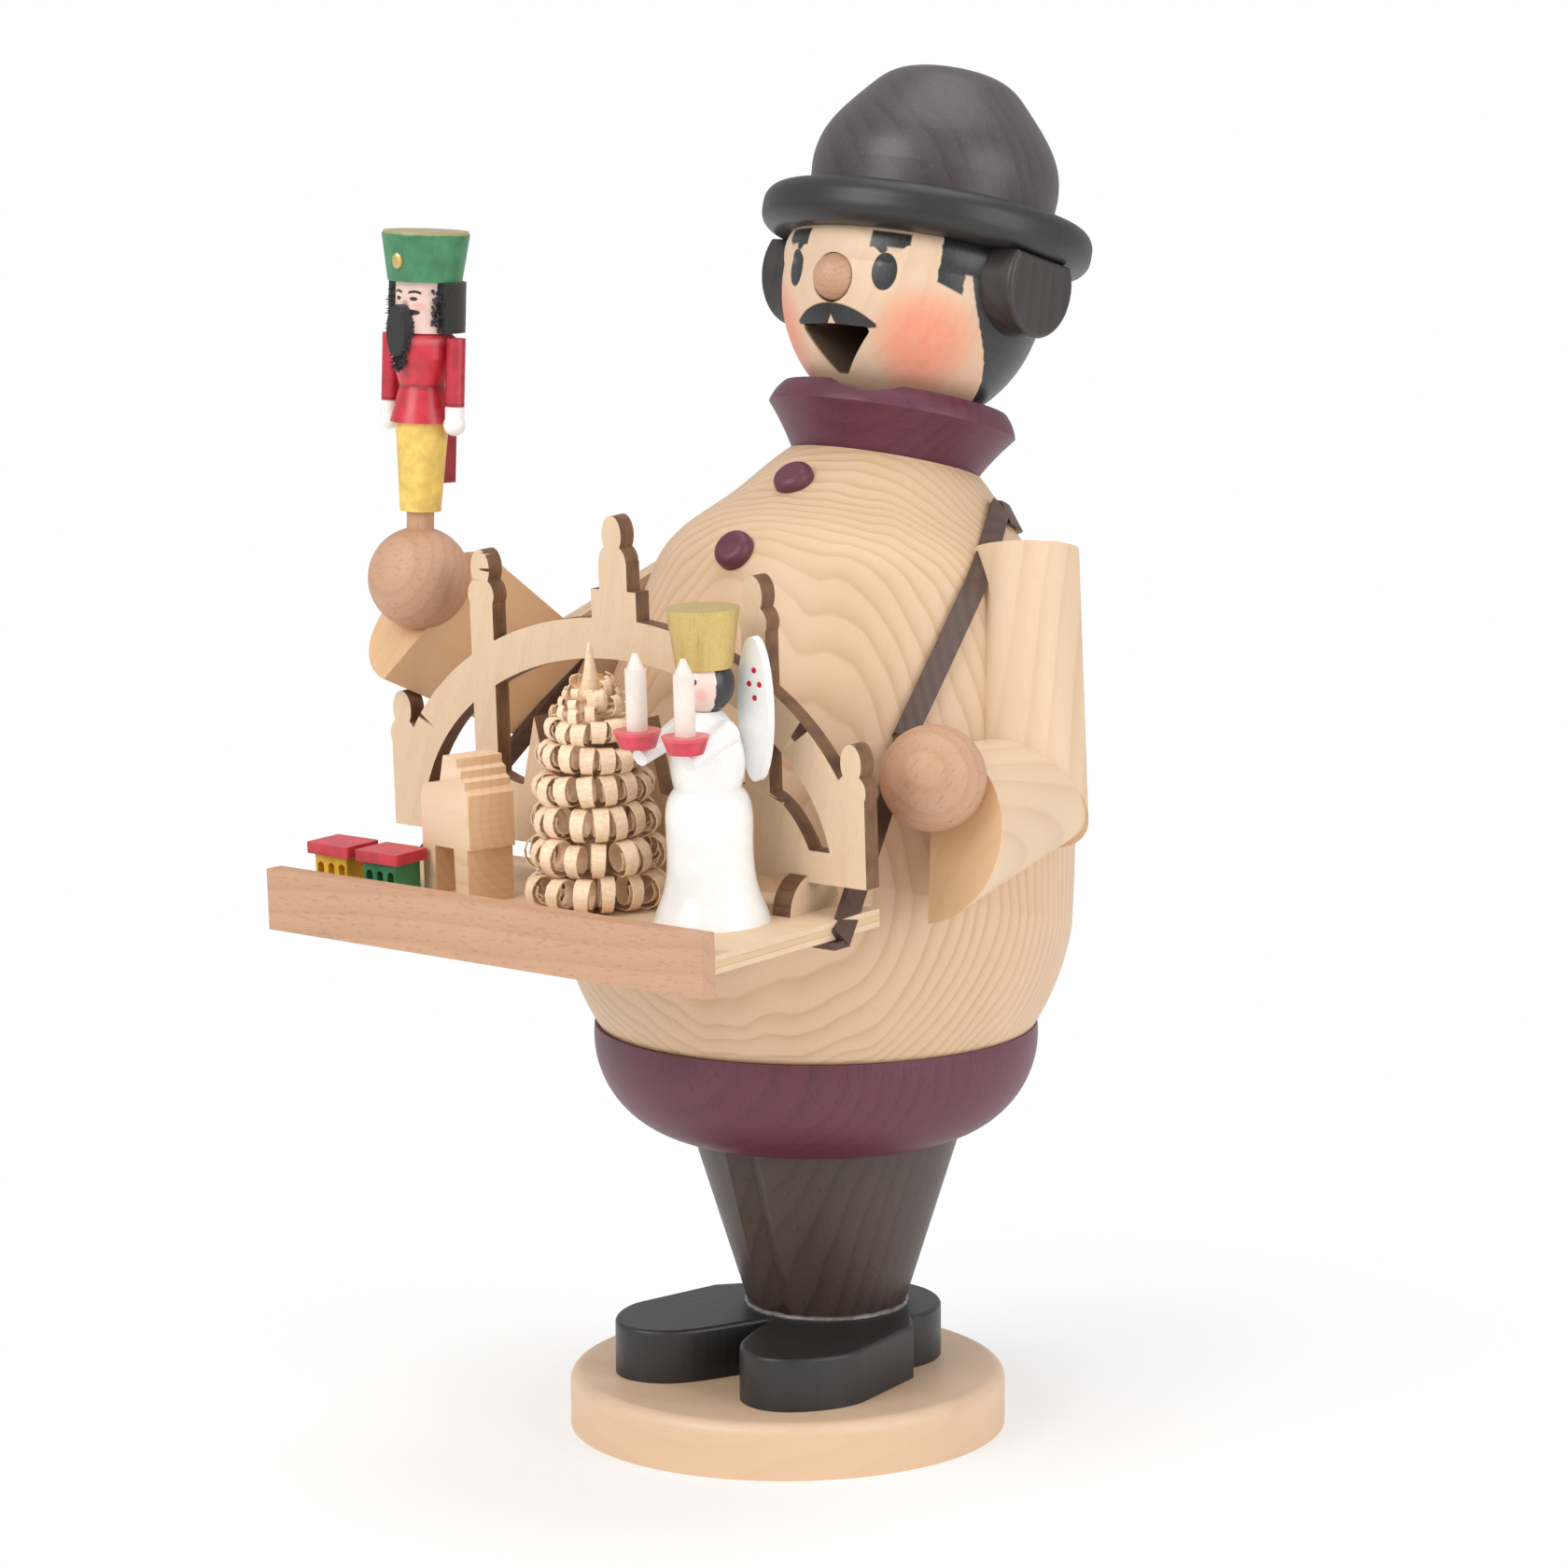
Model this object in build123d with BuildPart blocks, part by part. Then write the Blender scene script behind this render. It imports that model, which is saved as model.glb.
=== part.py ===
"""Incense smoker: a turned wooden pedlar who lifts off his stand so that a cone can burn inside him.

Millimetres, +Z up. The origin is the middle of the base's underside, and the figure looks along -Y.
"""
from build123d import *
from math import atan2, cos, radians, sin, tan
import os

os.makedirs("parts", exist_ok=True)

# Fits shared by all pieces
glue_gap = 0.1
lift_clearance = 0.4
cut_overrun = 2.0

# Stand: base disc, shoes and trousers
base_radius = 32.5
base_height = 8.3
base_edge = 1.8
shoe_width = 43.0
shoe_length = 46.5
shoe_height = 8.0
shoe_heel_y = 24.5
shoe_edge = 0.6
leg_y = 9.3
ankle_radius = 11.8
waist_radius = 20.3
crotch_groove_width = 16.0
crotch_groove_depth = 3.6
leg_dowel_radius = 3.0
leg_dowel_reach = 9.0

# Coat hem, the turned bowl that the figure sits on
seam_height = 60.0
seam_y = 7.0
seam_radius = 33.0
hem_drop = 16.6
hem_flat_radius = 21.0
spigot_radius = 21.0
spigot_height = 4.0
spigot_wall = 4.5
spigot_recess_depth = 3.0

# Burner plate and its nail
plate_radius = 15.5
plate_sheet = 0.6
plate_rim_height = 1.8
plate_ring_radius = 6.0
plate_ring_height = 1.2
nail_radius = 0.8
nail_head_radius = 1.9
nail_head_height = 0.6
nail_length = 9.0

# Coat body, turned about an axis that leans back
lean = 15.0
neck_y = 23.7
neck_height = 141.7
neck_radius = 14.5
shoulder_radius = 31.5
shoulder_drop = 20.7
belly_radius = 38.4
belly_drop = 63.5
side_bulge = 0.6
chamber_height = 34.0
chamber_dome_height = 14.0
draught_radius = 3.0
draught_rise = 9.0

# Collar on the neck
collar_lower_radius = 14.0
collar_wide_radius = 18.6
collar_wide_rise = 6.6
collar_upper_radius = 16.8
collar_height = 9.8
collar_dish_radius = 13.2
collar_dish_depth = 2.2
collar_wave_radius = 11.0
collar_wave_depth = 1.5
collar_wave_angle = 22.0

# Head with its bored tenon
head_rise = 8.0
head_radius = 19.6
head_centre_rise = 29.0
head_height = 24.0
tenon_radius = 9.0
tenon_depth = 9.0
flue_radius = 6.2
flue_height = 34.0
mouth_width = 13.4
mouth_height = 7.6
mouth_top_height = 163.4
mouth_corner = 1.2
nose_radius = 3.55
nose_height = 170.1
nose_stand = 2.8
nose_peg_depth = 5.0

# Hat
hat_shift = 1.0
brim_radius = 24.9
brim_height = 7.0
brim_edge = 2.9
crown_radius = 18.6
crown_wall_height = 4.0
crown_dome_height = 17.0

# Ear muffs under the brim
muff_width = 13.0
muff_drop = 11.8
muff_thickness = 4.8
muff_outer_x = 23.8
muff_edge = 0.8

# Buttons
button_radius = 3.0
button_height = 2.0
button_peg_radius = 1.0
button_peg_depth = 2.5
button_upper_drop = 6.3
button_lower_drop = 18.6

# Sleeves: half-round pieces glued with their flats against the coat
sleeve_flat_x = 36.3
sleeve_flat_height = 96.9
sleeve_tilt = 9.0
left_splay = 6.0
right_splay = 14.0
sleeve_shoulder_radius = 7.7
sleeve_elbow_radius = 8.8
sleeve_wrist_radius = 11.8
sleeve_upper_length = 36.0
sleeve_corner = 4.5
left_elbow_y = 10.8
left_elbow_height = 96.9
left_upper_angle = 76.0
left_fore_angle = 183.0
left_fore_length = 26.5
left_wrist_slant = 20.0
right_elbow_y = -11.4
right_elbow_height = 108.6
right_upper_angle = 27.0
right_fore_angle = 149.0
right_fore_length = 26.0
right_wrist_slant = 13.0
arm_dowel_radius = 2.0
arm_dowel_length = 9.0
arm_dowel_sleeve_depth = 4.0

# Hands, turned balls set in the sleeve ends
hand_radius = 7.5
hand_out = 3.2
hand_forward = 4.6
left_hand_rise = 6.6
right_hand_rise = 2.4

# Tray hung in front of the belly
tray_width = 81.4
tray_depth = 37.8
tray_front_y = -66.37
tray_height = 79.75
tray_pitch = 2.13
tray_strip_thickness = 2.75
tray_strip_height = 8.8
tray_ply_thickness = 2.6
tray_ply_rise = 2.9

# Candle arch, cut from thin plywood and stood on two half-round feet
arch_y = 30.5
arch_thickness = 2.8
arch_half_width = 44.4
arch_foot_lift = 4.3
arch_rail_height = 4.5
arch_band = 5.8
arch_inner_height = 28.2
arch_outer_finial_height = 20.0
arch_inner_finial_height = 42.0
arch_top_finial_height = 48.6
arch_post_width = 4.4
arch_post_pitch = 25.5
arch_top_post_width = 5.2
arch_top_step_width = 8.4
arch_top_step_height = 4.0
arch_bulb_radius = 2.5
arch_foot_radius = 5.4
arch_foot_thickness = 3.2
arch_foot_pitch = 32.5

# Strap of flat lace
strap_width = 3.3
strap_thickness = 1.0
strap_tab_length = 7.0
strap_top_drop = 5.1
strap_top_azimuth = 105.0
strap_left_middle_drop = 23.6
strap_left_middle_azimuth = 64.5
strap_left_leave_drop = 42.5
strap_left_leave_azimuth = 52.6
strap_left_tray_y = 28.2
strap_right_middle_drop = 12.5
strap_right_middle_azimuth = 84.0
strap_right_leave_drop = 20.1
strap_right_leave_azimuth = 68.3
strap_right_tray_y = 30.5

# Toys on the tray
toy_house_width = 6.2
toy_house_depth = 5.0
toy_house_height = 4.8
toy_roof_width = 8.2
toy_roof_depth = 6.6
toy_roof_height = 1.6
toy_roof_corner = 0.4
toy_slot_width = 1.2
toy_slot_height = 3.0
toy_slot_depth = 1.2
toy_yellow_x = -34.6
toy_yellow_y = 9.4
toy_green_x = -24.6
toy_green_y = 9.0

# Ring-turned animal: a slice of a turned hoop
animal_length = 13.5
animal_height = 20.4
animal_thickness = 7.2
animal_x = -15.0
animal_y = 14.6
animal_turn = -19.0

# Shaved curl tree
tree_x = 5.5
tree_y = 19.0
tree_stem_radius = 2.3
tree_height = 37.5
tree_tip_length = 9.0
tree_tip_radius = 1.5
tree_tier_height = 5.4
tree_tier_count = 6
tree_low_radius = 9.4
tree_top_radius = 5.2

# Angel with two candles
angel_x = 25.9
angel_y = 19.6
angel_hem_radius = 8.1
angel_waist_radius = 4.6
angel_chest_radius = 5.0
angel_neck_radius = 2.2
angel_hem_height = 18.6
angel_shoulder_height = 29.3
angel_head_radius = 4.1
angel_crown_height = 8.2
angel_crown_low_radius = 3.9
angel_crown_top_radius = 5.1
angel_arm_length = 9.0
angel_arm_radius = 1.5
angel_arm_spread = 4.3
angel_arm_rise = 25.2
angel_dish_radius = 3.3
angel_dish_height = 2.4
angel_candle_radius = 1.45
angel_candle_height = 10.5
angel_wing_length = 20.0
angel_wing_width = 5.4
angel_wing_thickness = 1.4
angel_wing_spread = 5.2

# Toy nutcracker on the right hand
cracker_lean = 2.0
cracker_peg_radius = 2.0
cracker_peg_height = 2.4
cracker_leg_low_radius = 3.0
cracker_leg_top_radius = 3.9
cracker_leg_height = 13.0
cracker_skirt_radius = 4.7
cracker_waist_radius = 3.4
cracker_chest_radius = 4.7
cracker_torso_height = 13.0
cracker_head_radius = 4.2
cracker_head_height = 7.4
cracker_cap_low_radius = 5.4
cracker_cap_top_radius = 6.4
cracker_cap_height = 7.2
cracker_arm_radius = 1.4
cracker_arm_length = 12.5
cracker_arm_spread = 6.4
cracker_tail_width = 4.2
cracker_tail_length = 9.0
cracker_tail_thickness = 1.2
cracker_hair_thickness = 1.8
cracker_beard_length = 6.0
cracker_beard_width = 3.6

# Places worked out from the sizes above
shoe_top = base_height + shoe_height
hem_bottom = seam_height - hem_drop
spigot_top = seam_height + spigot_height
plate_floor = spigot_top - spigot_recess_depth
chamber_radius = spigot_radius + lift_clearance
leg_axis = Axis((0, leg_y, 0), (0, 0, 1))
seam_axis = Axis((0, seam_y, 0), (0, 0, 1))
lean_up = Vector(0, sin(radians(lean)), cos(radians(lean)))
lean_front = Vector(0, -cos(radians(lean)), sin(radians(lean)))
neck_point = Vector(0, neck_y, neck_height)
lean_axis = Axis(neck_point, lean_up)
lean_face = Plane(neck_point, x_dir=(1, 0, 0), z_dir=lean_front)
lean_level = Plane(neck_point, x_dir=(1, 0, 0), z_dir=lean_up)
head_top = head_rise + head_height
brim_top = head_top + brim_height
belly_centre = neck_point - lean_up * belly_drop


def export_piece(piece, name):
    """Label a finished piece and write it to its own file."""
    piece.part.label = name
    export_step(piece.part, f"parts/{name}.step")


def coat_outline(growth):
    """Outer turned shape of the coat, larger by growth, cut level at the seam."""
    with BuildPart() as coat:
        with BuildSketch(lean_face):
            with BuildLine():
                neck_edge = Line((0, growth), (neck_radius + growth, growth))
                shoulder = Spline(
                    neck_edge @ 1,
                    (shoulder_radius * 0.70 + growth, -shoulder_drop * 0.40),
                    (shoulder_radius + growth, -shoulder_drop),
                    tangents=[(1, -0.9), (0.22, -1)],
                )
                side = ThreePointArc(
                    shoulder @ 1,
                    (
                        (shoulder_radius + belly_radius) / 2 + side_bulge + growth,
                        -(shoulder_drop + belly_drop) / 2,
                    ),
                    (belly_radius + growth, -belly_drop),
                )
                belly = ThreePointArc(
                    side @ 1,
                    (
                        (belly_radius + growth) * sin(radians(45)),
                        -belly_drop - (belly_radius + growth) * cos(radians(45)),
                    ),
                    (0, -belly_drop - belly_radius - growth),
                )
                Line(belly @ 1, neck_edge @ 0)
            make_face()
        revolve(axis=lean_axis)
        split(bisect_by=Plane.XY.offset(seam_height), keep=Keep.TOP)
    return coat


# Base disc
with BuildPart() as base_disc:
    with BuildSketch(Plane.XY):
        Circle(base_radius)
    extrude(amount=base_height)
    fillet(base_disc.edges().group_by(Axis.Z)[-1], radius=base_edge)
    with Locations((0, leg_y, base_height)):
        Hole(leg_dowel_radius + glue_gap, depth=base_height / 2)

# Both shoes are sawn from one board, joined at the heels
shoe_half_shares = [(0.0, 0.615), (0.17, 0.83), (0.36, 0.955), (0.62, 0.985), (0.88, 0.90), (1.0, 0.70), (0.90, 0.40)]
heel_half_shares = [(0.74, 0.31), (0.69, 0.14), (0.43, 0.02)]
shoe_points = [(x * shoe_width / 2, shoe_heel_y - y * shoe_length) for x, y in shoe_half_shares]
heel_points = [(x * shoe_width / 2, shoe_heel_y - y * shoe_length) for x, y in heel_half_shares]
with BuildPart() as shoes:
    with BuildSketch(Plane.XY.offset(base_height)) as shoe_sketch:
        with BuildLine():
            toe = Spline(*shoe_points[:-1])
            outer = Line(toe @ 1, shoe_points[-1])
            waist = Line(outer @ 1, heel_points[0])
            heel = Spline(waist @ 1, *heel_points[1:], (0, shoe_heel_y))
            Line(heel @ 1, toe @ 0)
        make_face()
        mirror(about=Plane.YZ)
    extrude(amount=shoe_height)
    fillet(shoes.edges().group_by(Axis.Z)[-1], radius=shoe_edge)
    with Locations((0, leg_y, shoe_top)):
        Hole(leg_dowel_radius + glue_gap)

# Trousers, one turned cone with a groove milled between the legs
with BuildPart() as trousers:
    with BuildSketch(Plane.YZ):
        with BuildLine():
            Polyline(
                (leg_y, shoe_top),
                (leg_y + ankle_radius, shoe_top),
                (leg_y + waist_radius, hem_bottom),
                (leg_y, hem_bottom),
                close=True,
            )
        make_face()
    revolve(axis=leg_axis)
    trouser_slope = atan2(waist_radius - ankle_radius, hem_bottom - shoe_top)
    for front in (-1, 1):
        groove_plane = Plane(
            (0, leg_y + front * (ankle_radius - crotch_groove_depth / 2), shoe_top),
            x_dir=(1, 0, 0),
            z_dir=(0, front * sin(trouser_slope), cos(trouser_slope)),
        )
        with BuildSketch(groove_plane) as groove:
            with BuildLine():
                Polyline(
                    (0, 0),
                    (crotch_groove_width, front * crotch_groove_depth * 2),
                    (-crotch_groove_width, front * crotch_groove_depth * 2),
                    close=True,
                )
            make_face()
        extrude(amount=2 * (hem_bottom - shoe_top), both=True, mode=Mode.SUBTRACT)
    with Locations((0, leg_y, shoe_top)):
        Cylinder(
            leg_dowel_radius + glue_gap,
            leg_dowel_reach + glue_gap,
            align=(Align.CENTER, Align.CENTER, Align.MIN),
            mode=Mode.SUBTRACT,
        )

# Dowel through the shoes that ties the legs to the base
with BuildPart() as leg_dowel:
    with BuildSketch(Plane.XY.offset(base_height / 2)):
        with Locations((0, leg_y)):
            Circle(leg_dowel_radius)
    extrude(amount=base_height / 2 + shoe_height + leg_dowel_reach)

# Coat hem with the raised ring that centres the figure
with BuildPart() as coat_hem:
    with BuildSketch(Plane.YZ):
        with BuildLine():
            hem_foot = Line((seam_y, hem_bottom), (seam_y + hem_flat_radius, hem_bottom))
            hem_side = ThreePointArc(
                hem_foot @ 1,
                (seam_y + seam_radius * 0.905, hem_bottom + hem_drop * 0.33),
                (seam_y + seam_radius, seam_height),
            )
            Polyline(
                hem_side @ 1,
                (seam_y + spigot_radius, seam_height),
                (seam_y + spigot_radius, spigot_top),
                (seam_y + spigot_radius - spigot_wall, spigot_top),
                (seam_y + spigot_radius - spigot_wall, plate_floor),
                (seam_y, plate_floor),
                hem_foot @ 0,
            )
        make_face()
    revolve(axis=seam_axis)
    with Locations((0, seam_y, plate_floor)):
        Hole(nail_radius, depth=nail_length)

# Pressed metal burner plate with a low ring for the cone
with BuildPart() as burner_plate:
    with BuildSketch(Plane.YZ):
        with BuildLine():
            Polyline(
                (seam_y + nail_radius + glue_gap, plate_floor),
                (seam_y + plate_radius, plate_floor),
                (seam_y + plate_radius + plate_sheet, plate_floor + plate_rim_height),
                (seam_y + plate_radius, plate_floor + plate_rim_height),
                (seam_y + plate_radius - plate_sheet, plate_floor + plate_sheet),
                (seam_y + plate_ring_radius + plate_sheet, plate_floor + plate_sheet),
                (seam_y + plate_ring_radius + plate_sheet, plate_floor + plate_ring_height),
                (seam_y + plate_ring_radius, plate_floor + plate_ring_height),
                (seam_y + plate_ring_radius, plate_floor + plate_sheet),
                (seam_y + nail_radius + glue_gap, plate_floor + plate_sheet),
                close=True,
            )
        make_face()
    revolve(axis=seam_axis)

# Nail that holds the plate in the middle
with BuildPart() as plate_nail:
    with BuildSketch(Plane.XY.offset(plate_floor + plate_sheet)):
        with Locations((0, seam_y)):
            Circle(nail_head_radius)
    extrude(amount=nail_head_height)
    with BuildSketch(Plane.XY.offset(plate_floor + plate_sheet)):
        with Locations((0, seam_y)):
            Circle(nail_radius)
    extrude(amount=plate_sheet - nail_length)

# Hollow coat body: smoke chamber, neck socket and draught hole
coat_solid = coat_outline(0).part
coat_body = coat_outline(0)
chamber_top = seam_height + chamber_height
with BuildPart() as coat_hollow:
    with BuildSketch(Plane.YZ):
        with BuildLine():
            wall = Polyline(
                (seam_y, seam_height - cut_overrun),
                (seam_y + chamber_radius, seam_height - cut_overrun),
                (seam_y + chamber_radius, chamber_top),
            )
            dome = ThreePointArc(
                wall @ 1,
                (seam_y + chamber_radius * 0.76, chamber_top + chamber_dome_height * 0.65),
                (seam_y, chamber_top + chamber_dome_height),
            )
            Line(dome @ 1, wall @ 0)
        make_face()
    revolve(axis=seam_axis)
    with BuildSketch(lean_level.offset(cut_overrun)):
        Circle(tenon_radius + glue_gap)
    extrude(amount=-(neck_height - chamber_top))
    with BuildSketch(Plane.XZ.offset(-seam_y)):
        with Locations((0, seam_height + draught_rise)):
            Circle(draught_radius)
    extrude(amount=-2 * seam_radius)
with coat_body:
    add(coat_hollow.part, mode=Mode.SUBTRACT)

# Collar, dished on top to take the head, with a shallow wave milled across it
with BuildPart() as collar:
    with BuildSketch(lean_face):
        with BuildLine():
            Polyline(
                (tenon_radius + glue_gap, collar_height - collar_dish_depth),
                (tenon_radius + glue_gap, 0),
                (collar_lower_radius, 0),
            )
            flare = ThreePointArc(
                (collar_lower_radius, 0),
                ((collar_lower_radius + collar_wide_radius) / 2, collar_wide_rise * 0.55),
                (collar_wide_radius, collar_wide_rise),
            )
            turn_in = ThreePointArc(
                flare @ 1,
                ((collar_wide_radius * 2 + collar_upper_radius) / 3, (collar_wide_rise + collar_height) / 2),
                (collar_upper_radius, collar_height),
            )
            Polyline(
                turn_in @ 1,
                (collar_dish_radius, collar_height),
                (tenon_radius + glue_gap, collar_height - collar_dish_depth),
            )
        make_face()
    revolve(axis=lean_axis)
    wave_height = collar_height + collar_wave_radius - collar_wave_depth
    wave_plane = Plane(
        neck_point + lean_up * wave_height,
        x_dir=lean_up,
        z_dir=lean_front * cos(radians(collar_wave_angle)) + Vector(sin(radians(collar_wave_angle)), 0, 0),
    )
    with BuildSketch(wave_plane):
        Circle(collar_wave_radius)
    extrude(amount=2 * collar_wide_radius, mode=Mode.SUBTRACT)

# Head, turned with its tenon, bored for the smoke and cut for the mouth
mouth_depth_y = neck_y + head_centre_rise * sin(radians(lean))
with BuildPart() as head:
    with BuildSketch(lean_face):
        with BuildLine():
            tenon_side = Polyline(
                (flue_radius, -tenon_depth),
                (tenon_radius, -tenon_depth),
                (tenon_radius, head_rise),
            )
            jaw = ThreePointArc(
                tenon_side @ 1,
                (head_radius * 0.865, head_centre_rise - head_radius * 0.66),
                (head_radius, head_centre_rise - head_radius * 0.1),
            )
            temple = ThreePointArc(
                jaw @ 1,
                (head_radius * 1.01, (head_centre_rise + head_top) / 2),
                (head_radius * 0.985, head_top),
            )
            Polyline(
                temple @ 1,
                (0, head_top),
                (0, flue_height - tenon_depth),
                (flue_radius, flue_height - tenon_depth),
                tenon_side @ 0,
            )
        make_face()
    revolve(axis=lean_axis)
    with BuildSketch(Plane.XZ.offset(-mouth_depth_y)):
        with BuildLine():
            Polyline(
                (-mouth_width / 2, mouth_top_height - mouth_height * 0.06),
                (0, mouth_top_height),
                (mouth_width / 2, mouth_top_height - mouth_height * 0.06),
                (mouth_width * 0.07, mouth_top_height - mouth_height),
                (-mouth_width * 0.07, mouth_top_height - mouth_height),
                close=True,
            )
        mouth_face = make_face()
        fillet(mouth_face.vertices().group_by(Axis.Z)[0], radius=mouth_corner / 2)
    extrude(amount=2 * head_radius, mode=Mode.SUBTRACT)
    nose_face_y = neck_y + (nose_height - neck_height) * tan(radians(lean)) - head_radius
    with BuildSketch(Plane.XZ.offset(-(nose_face_y + nose_peg_depth))):
        with Locations((0, nose_height)):
            Circle(nose_radius + glue_gap)
    extrude(amount=head_radius, mode=Mode.SUBTRACT)

# Nose, a beech ball on a peg
nose_tip_y = nose_face_y - nose_stand
nose_ball_y = nose_tip_y + nose_radius
with BuildPart() as nose:
    with BuildSketch(Plane.XZ.offset(-(nose_face_y + nose_peg_depth))):
        with Locations((0, nose_height)):
            Circle(nose_radius)
    extrude(amount=nose_face_y + nose_peg_depth - nose_ball_y)
    with Locations((0, nose_ball_y, nose_height)):
        Sphere(nose_radius)

# Hat brim and crown, set slightly back on the head
hat_level = Plane(
    neck_point + lean_up * head_top - lean_front * hat_shift,
    x_dir=(1, 0, 0),
    z_dir=lean_up,
)
with BuildPart() as hat_brim:
    with BuildSketch(hat_level):
        Circle(brim_radius)
    extrude(amount=brim_height)
    fillet(hat_brim.edges(), radius=brim_edge)

hat_axis = Axis(hat_level.origin, lean_up)
hat_face = Plane(hat_level.origin, x_dir=(1, 0, 0), z_dir=lean_front)
with BuildPart() as hat_crown:
    with BuildSketch(hat_face):
        with BuildLine():
            crown_side = Line((crown_radius * 0.985, brim_height), (crown_radius, brim_height + crown_wall_height))
            crown_dome = Spline(
                crown_side @ 1,
                (crown_radius * 0.925, brim_height + crown_wall_height + crown_dome_height * 0.35),
                (crown_radius * 0.67, brim_height + crown_wall_height + crown_dome_height * 0.72),
                (0, brim_height + crown_wall_height + crown_dome_height),
                tangents=[(0, 1), (-1, 0)],
            )
            Polyline(crown_dome @ 1, (0, brim_height), crown_side @ 0)
        make_face()
    revolve(axis=hat_axis)


def ear_muff(side):
    """Half-round block under the brim, seated against the head on one side."""
    muff_plane = Plane(
        neck_point + lean_up * head_top + Vector(side * muff_outer_x, 0, 0),
        x_dir=lean_front,
        z_dir=(side, 0, 0),
    )
    down = -1 if muff_plane.y_dir.Z > 0 else 1
    with BuildPart() as muff:
        with BuildSketch(muff_plane):
            with BuildLine():
                flat = Line((-muff_width / 2, 0), (muff_width / 2, 0))
                ThreePointArc(flat @ 1, (0, down * muff_drop), flat @ 0)
            make_face()
        extrude(amount=-2 * muff_thickness)
        fillet(muff.faces().sort_by(Axis((0, 0, 0), (side, 0, 0)))[-1].edges(), radius=muff_edge)
        add(head.part, mode=Mode.SUBTRACT)
    return muff


ear_muff_left = ear_muff(1)
ear_muff_right = ear_muff(-1)


def coat_front(drop):
    """Point and outward plane on the front of the coat, a distance down from the neck."""
    probe = neck_point - lean_up * drop
    hits = coat_solid.find_intersection_points(Axis(probe, lean_front))
    ahead = [hit for hit in hits if (hit[0] - probe).dot(lean_front) > 0]
    point, normal = max(ahead, key=lambda hit: (hit[0] - probe).dot(lean_front))
    return Plane(point, x_dir=(1, 0, 0), z_dir=normal)


def coat_button(drop):
    """Domed button with a peg, standing on the coat front."""
    seat = coat_front(drop)
    with BuildPart() as button:
        with BuildSketch(seat.offset(-button_height / 2)):
            Circle(button_radius)
        extrude(amount=button_height * 1.5)
        fillet(button.edges().sort_by(Axis(seat.origin, seat.z_dir))[-1], radius=button_height * 0.7)
        add(coat_solid, mode=Mode.SUBTRACT)
        with BuildSketch(seat.offset(button_height / 2)):
            Circle(button_peg_radius)
        extrude(amount=-button_peg_depth)
    return button


button_upper = coat_button(button_upper_drop)
button_lower = coat_button(button_lower_drop)
with coat_body:
    add(button_upper.part, mode=Mode.SUBTRACT)
    add(button_lower.part, mode=Mode.SUBTRACT)


def sleeve_plane(side, splay_angle, elbow_y, elbow_height):
    """Plane of a sleeve's flat: origin at the elbow, x backwards, y up the tilt, z outwards."""
    tilt = radians(sleeve_tilt)
    splay = radians(splay_angle)
    flat_x = sleeve_flat_x - (elbow_height - sleeve_flat_height) * tan(tilt)
    back = Vector(-side * sin(splay), cos(splay), 0)
    outward = Vector(side * cos(splay) * cos(tilt), sin(splay) * cos(tilt), sin(tilt))
    return Plane((side * flat_x, elbow_y, elbow_height), x_dir=back * side, z_dir=outward)


def sleeve_direction(plane, side, angle):
    """Direction in the sleeve's flat, the angle measured from straight back, upwards."""
    turn = radians(angle)
    return plane.x_dir * (side * cos(turn)) + plane.y_dir * sin(turn)


def half_round(plane, direction, length, near_radius, far_radius, corner):
    """Half cone along a direction in a plane, from the plane's origin, flat on the plane."""
    across = plane.z_dir.cross(direction)
    profile_plane = Plane(plane.origin, x_dir=direction, z_dir=direction.cross(across))
    back = sleeve_elbow_radius * 1.5
    slope = (far_radius - near_radius) / length
    with BuildPart() as piece:
        with BuildSketch(profile_plane):
            with BuildLine():
                Polyline(
                    (-back, 0),
                    (-back, near_radius - slope * back),
                    (length, far_radius),
                    (length, 0),
                    close=True,
                )
            outline = make_face()
            if corner > 0:
                far_corner = outline.vertices().sort_by(Axis(plane.origin, direction + across))[-1]
                fillet(far_corner, radius=corner)
        revolve(axis=Axis(plane.origin, direction))
        split(bisect_by=plane, keep=Keep.TOP)
    return piece


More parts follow.
